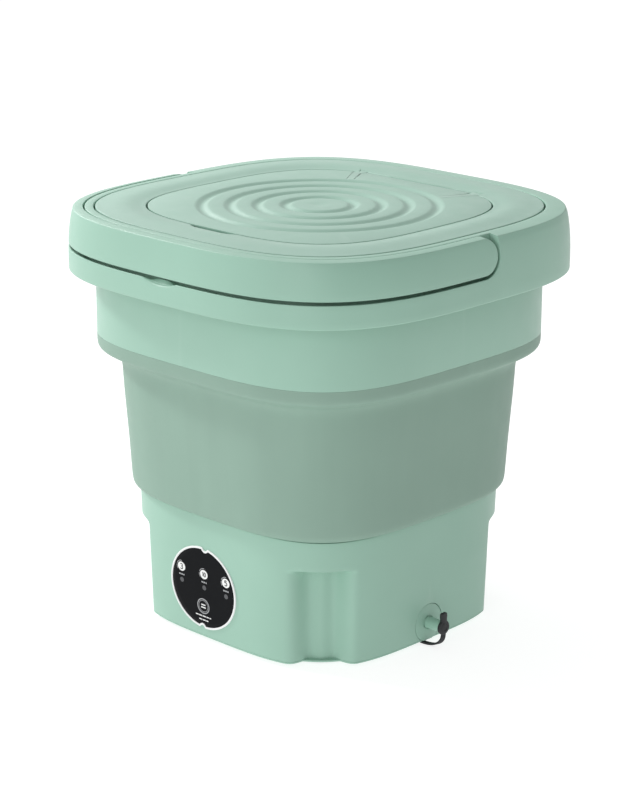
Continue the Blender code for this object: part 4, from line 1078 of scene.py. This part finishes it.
def make_inlet():
    low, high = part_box("dc_inlet")
    inside = low.y - high.y
    profile = rounded([(0, -0.0020, 0), (0.0008, -0.0022, 0.0002), (0.0010, -0.0110, 0), (0.0028, -0.0110, 0),
                       (0.0028, -0.0004, 0), (0.0032, 0.0, 0.0002), (0.0062, 0.0, 0), (0.0064, -0.0003, 0),
                       (0.0068, -0.0003, 0), (0.0070, 0.0, 0), (0.0085, 0.0, 0.0006), (0.0085, -0.0018, 0),
                       (0.0060, -0.0018, 0), (0.0060, inside, 0), (0, inside, 0)])
    piece("inlet_skin", turned(profile, 64, (0, high.y, INLET_Z), (0, 1, 0)), DARK, "base", "dc_inlet")


# ================================================================ pulsator
def vane_lift(angle, radius, z):
    """How far the pulsator's three leaning vanes stand above its face at a point."""
    crest = 0.0978 - 0.0040 * smoothstep(0.018, 0.050, radius)
    ends = smoothstep(0.0095, 0.0125, radius) * (1 - smoothstep(0.0490, 0.0535, radius))
    lift = 0.0
    for k in range(3):
        lean = k * 2 * pi / 3 + (radius - 0.03) * 3.0
        away = abs((angle - lean + pi) % (2 * pi) - pi) * radius
        lift = max(lift, (crest - z) * (1 - smoothstep(0.0012, 0.0034, away)) * ends)
    return lift


def make_pulsator():
    face = smooth_line(((0.0046, 0.1010), (0.0100, 0.1009), (0.0135, 0.0990), (0.0200, 0.0935),
                        (0.0280, 0.0915), (0.0360, 0.0905), (0.0450, 0.0897), (0.0545, 0.0889),
                        (0.0572, 0.0882), (0.0580, 0.0868)), 5)
    back = ((0.0580, 0.0854), (0.0576, 0.0850), (0.0100, 0.0850), (0.0043, 0.0850), (0.0043, 0.0978),
            (0.0019, 0.0978), (0.0019, 0.1010))
    angles = even_angles(360)
    rows = [[polar(a, radius, z + vane_lift(a, radius, z)) for a in angles] for radius, z in face]
    rows += [[polar(a, radius, z) for a in angles] for radius, z in back]
    piece("pulsator_skin", skin(rows, loop=True), GREY, "pulsator_drive", "pulsator")
    low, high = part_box("pulsator_screw")
    head = 0.1013
    profile = rounded([(0, high.z, 0), (0.0030, high.z - 0.0002, 0.0008), (0.0046, head, 0.0003),
                       (0.0015, head, 0), (0.0015, low.z, 0), (0, low.z, 0)])
    screw = make_object("pulsator_cap_screw", turned(profile, 48), STEEL)
    cross_recess(screw, (0, 0), ((0.0022, 0.0004), (0.0004, 0.0022)), high.z - 0.0012, high.z + 0.001)
    set_down(screw, "pulsator_drive", "pulsator_screw", sharp=30)


# ================================================================ finishes of the carried-over CAD nodes
FINISHES = (
    (MINT, "bottom_cover"), (CAN, "drive_motor"), (BRASS, "motor_pinion"), (NYLON, "drive_gear"),
    (DARK, "motor_plate"), (BRONZE, "shaft_bush"), (RUBBER, "shaft_seal"),
    (BOARD, "touch_board", "control_board"), (LEAD_WHITE, "panel_lead"), (LEAD_BLACK, "inlet_lead"),
    (LEAD_RED, "motor_lead"),
    (STEEL, "motor_shaft", "motor_screw_1", "motor_screw_2", "pulsator_shaft", "handle_pin_left",
     "handle_pin_right", "flap_pin_left", "flap_pin_right"),
)


def finish_cad_nodes():
    for mat, *names in FINISHES:
        for node in [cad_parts[name] for name in names]:
            if not node.material_slots:
                node.data.materials.append(mat)
            for slot in node.material_slots:
                slot.material = mat


# ================================================================ stage, light and camera
LEFT, BEHIND, UP = Vector((-0.707, -0.707, 0)), Vector((-0.707, 0.707, 0)), Vector((0, 0, 1))
WORLD_LEVEL = 0.60
WORLD_SLOPE = LEFT * 0.30 + BEHIND * 0.36 + UP * 0.02
FLOOR_REACH = 14.0
FLOOR_DARK, FLOOR_LIGHT, FLOOR_GLOW = (0.37, 0.37, 0.37), (0.39, 0.39, 0.39), 0.80


def aim(obj, along):
    obj.rotation_mode = "QUATERNION"
    obj.rotation_quaternion = Vector(along).to_track_quat("-Z", "Y")


def soft_light(name, place, target, size, power):
    data = bpy.data.lights.new(name, "AREA")
    data.shape = "SQUARE"
    data.size = size
    data.energy = power
    lamp = link(name, data)
    lamp.location = place
    aim(lamp, Vector(target) - Vector(place))


def make_floor():
    mesh = bpy.data.meshes.new("studio_floor")
    corners = [(sx * FLOOR_REACH, sy * FLOOR_REACH, 0) for sx, sy in ((-1, -1), (1, -1), (1, 1), (-1, 1))]
    mesh.from_pydata(corners, [], [(0, 1, 2, 3)])
    mat, tree, shader = new_material("pale_floor")
    coords = object_coords(tree)
    tree.links.new(mix(tree, noise(tree, coords, 3.0), FLOOR_DARK, FLOOR_LIGHT), shader.inputs["Base Color"])
    put(shader, {"Roughness": 0.9, "Specular IOR Level": 0.0, "Emission Color": (1, 1, 1, 1),
                 "Emission Strength": FLOOR_GLOW})
    mesh.materials.append(mat)
    link("studio_floor", mesh)


def make_world():
    """One plain gradient: brighter to the left and behind, darker to the right and in front."""
    world = bpy.data.worlds.new("soft_studio")
    world.use_nodes = True
    tree = world.node_tree
    ground = tree.nodes["Background"]
    put(ground, {"Color": (1, 1, 1, 1)})
    slope = add_node(tree, "ShaderNodeVectorMath", {1: WORLD_SLOPE}, operation="DOT_PRODUCT")
    tree.links.new(add_node(tree, "ShaderNodeTexCoord").outputs["Generated"], slope.inputs[0])
    level = add_node(tree, "ShaderNodeMath", {1: WORLD_LEVEL}, operation="ADD")
    tree.links.new(slope.outputs["Value"], level.inputs[0])
    tree.links.new(level.outputs["Value"], ground.inputs["Strength"])
    bpy.context.scene.world = world


def make_lights():
    soft_light("left_light", (-1.9, -0.85, 1.95), (0, 0, 0.3), 0.35, 34.0)
    soft_light("lid_light", (-0.75, 0.10, 0.75), (-0.12, -0.05, 0.33), 0.3, 1.8)
    soft_light("front_light", (1.0, -2.3, 0.9), (0, 0, 0.17), 1.6, 14.0)


def make_camera():
    around, heading, pitch = radians(43.823), radians(44.472), radians(17.088)
    distance, height = 1.817, 0.7327
    data = bpy.data.cameras.new("camera")
    data.lens = 107.2
    data.sensor_width = 36.0
    data.sensor_fit = "AUTO"
    data.shift_x = 0.0336
    camera = link("camera", data)
    camera.location = (distance * sin(around), -distance * cos(around), height)
    aim(camera, (-sin(heading) * cos(pitch), cos(heading) * cos(pitch), -sin(pitch)))
    bpy.context.scene.camera = camera


for make in (make_camera, make_base, make_basin, make_feet_and_screws, make_folding_wall, make_upper_ring,
             make_rim, make_handle, make_lid_frame, make_hinge_seat, make_flap, make_panel, make_print,
             make_spout, make_cap, make_strap, make_inlet, make_pulsator, finish_cad_nodes, make_floor,
             make_world, make_lights):
    make()

bpy.context.scene.view_settings.view_transform = "Standard"
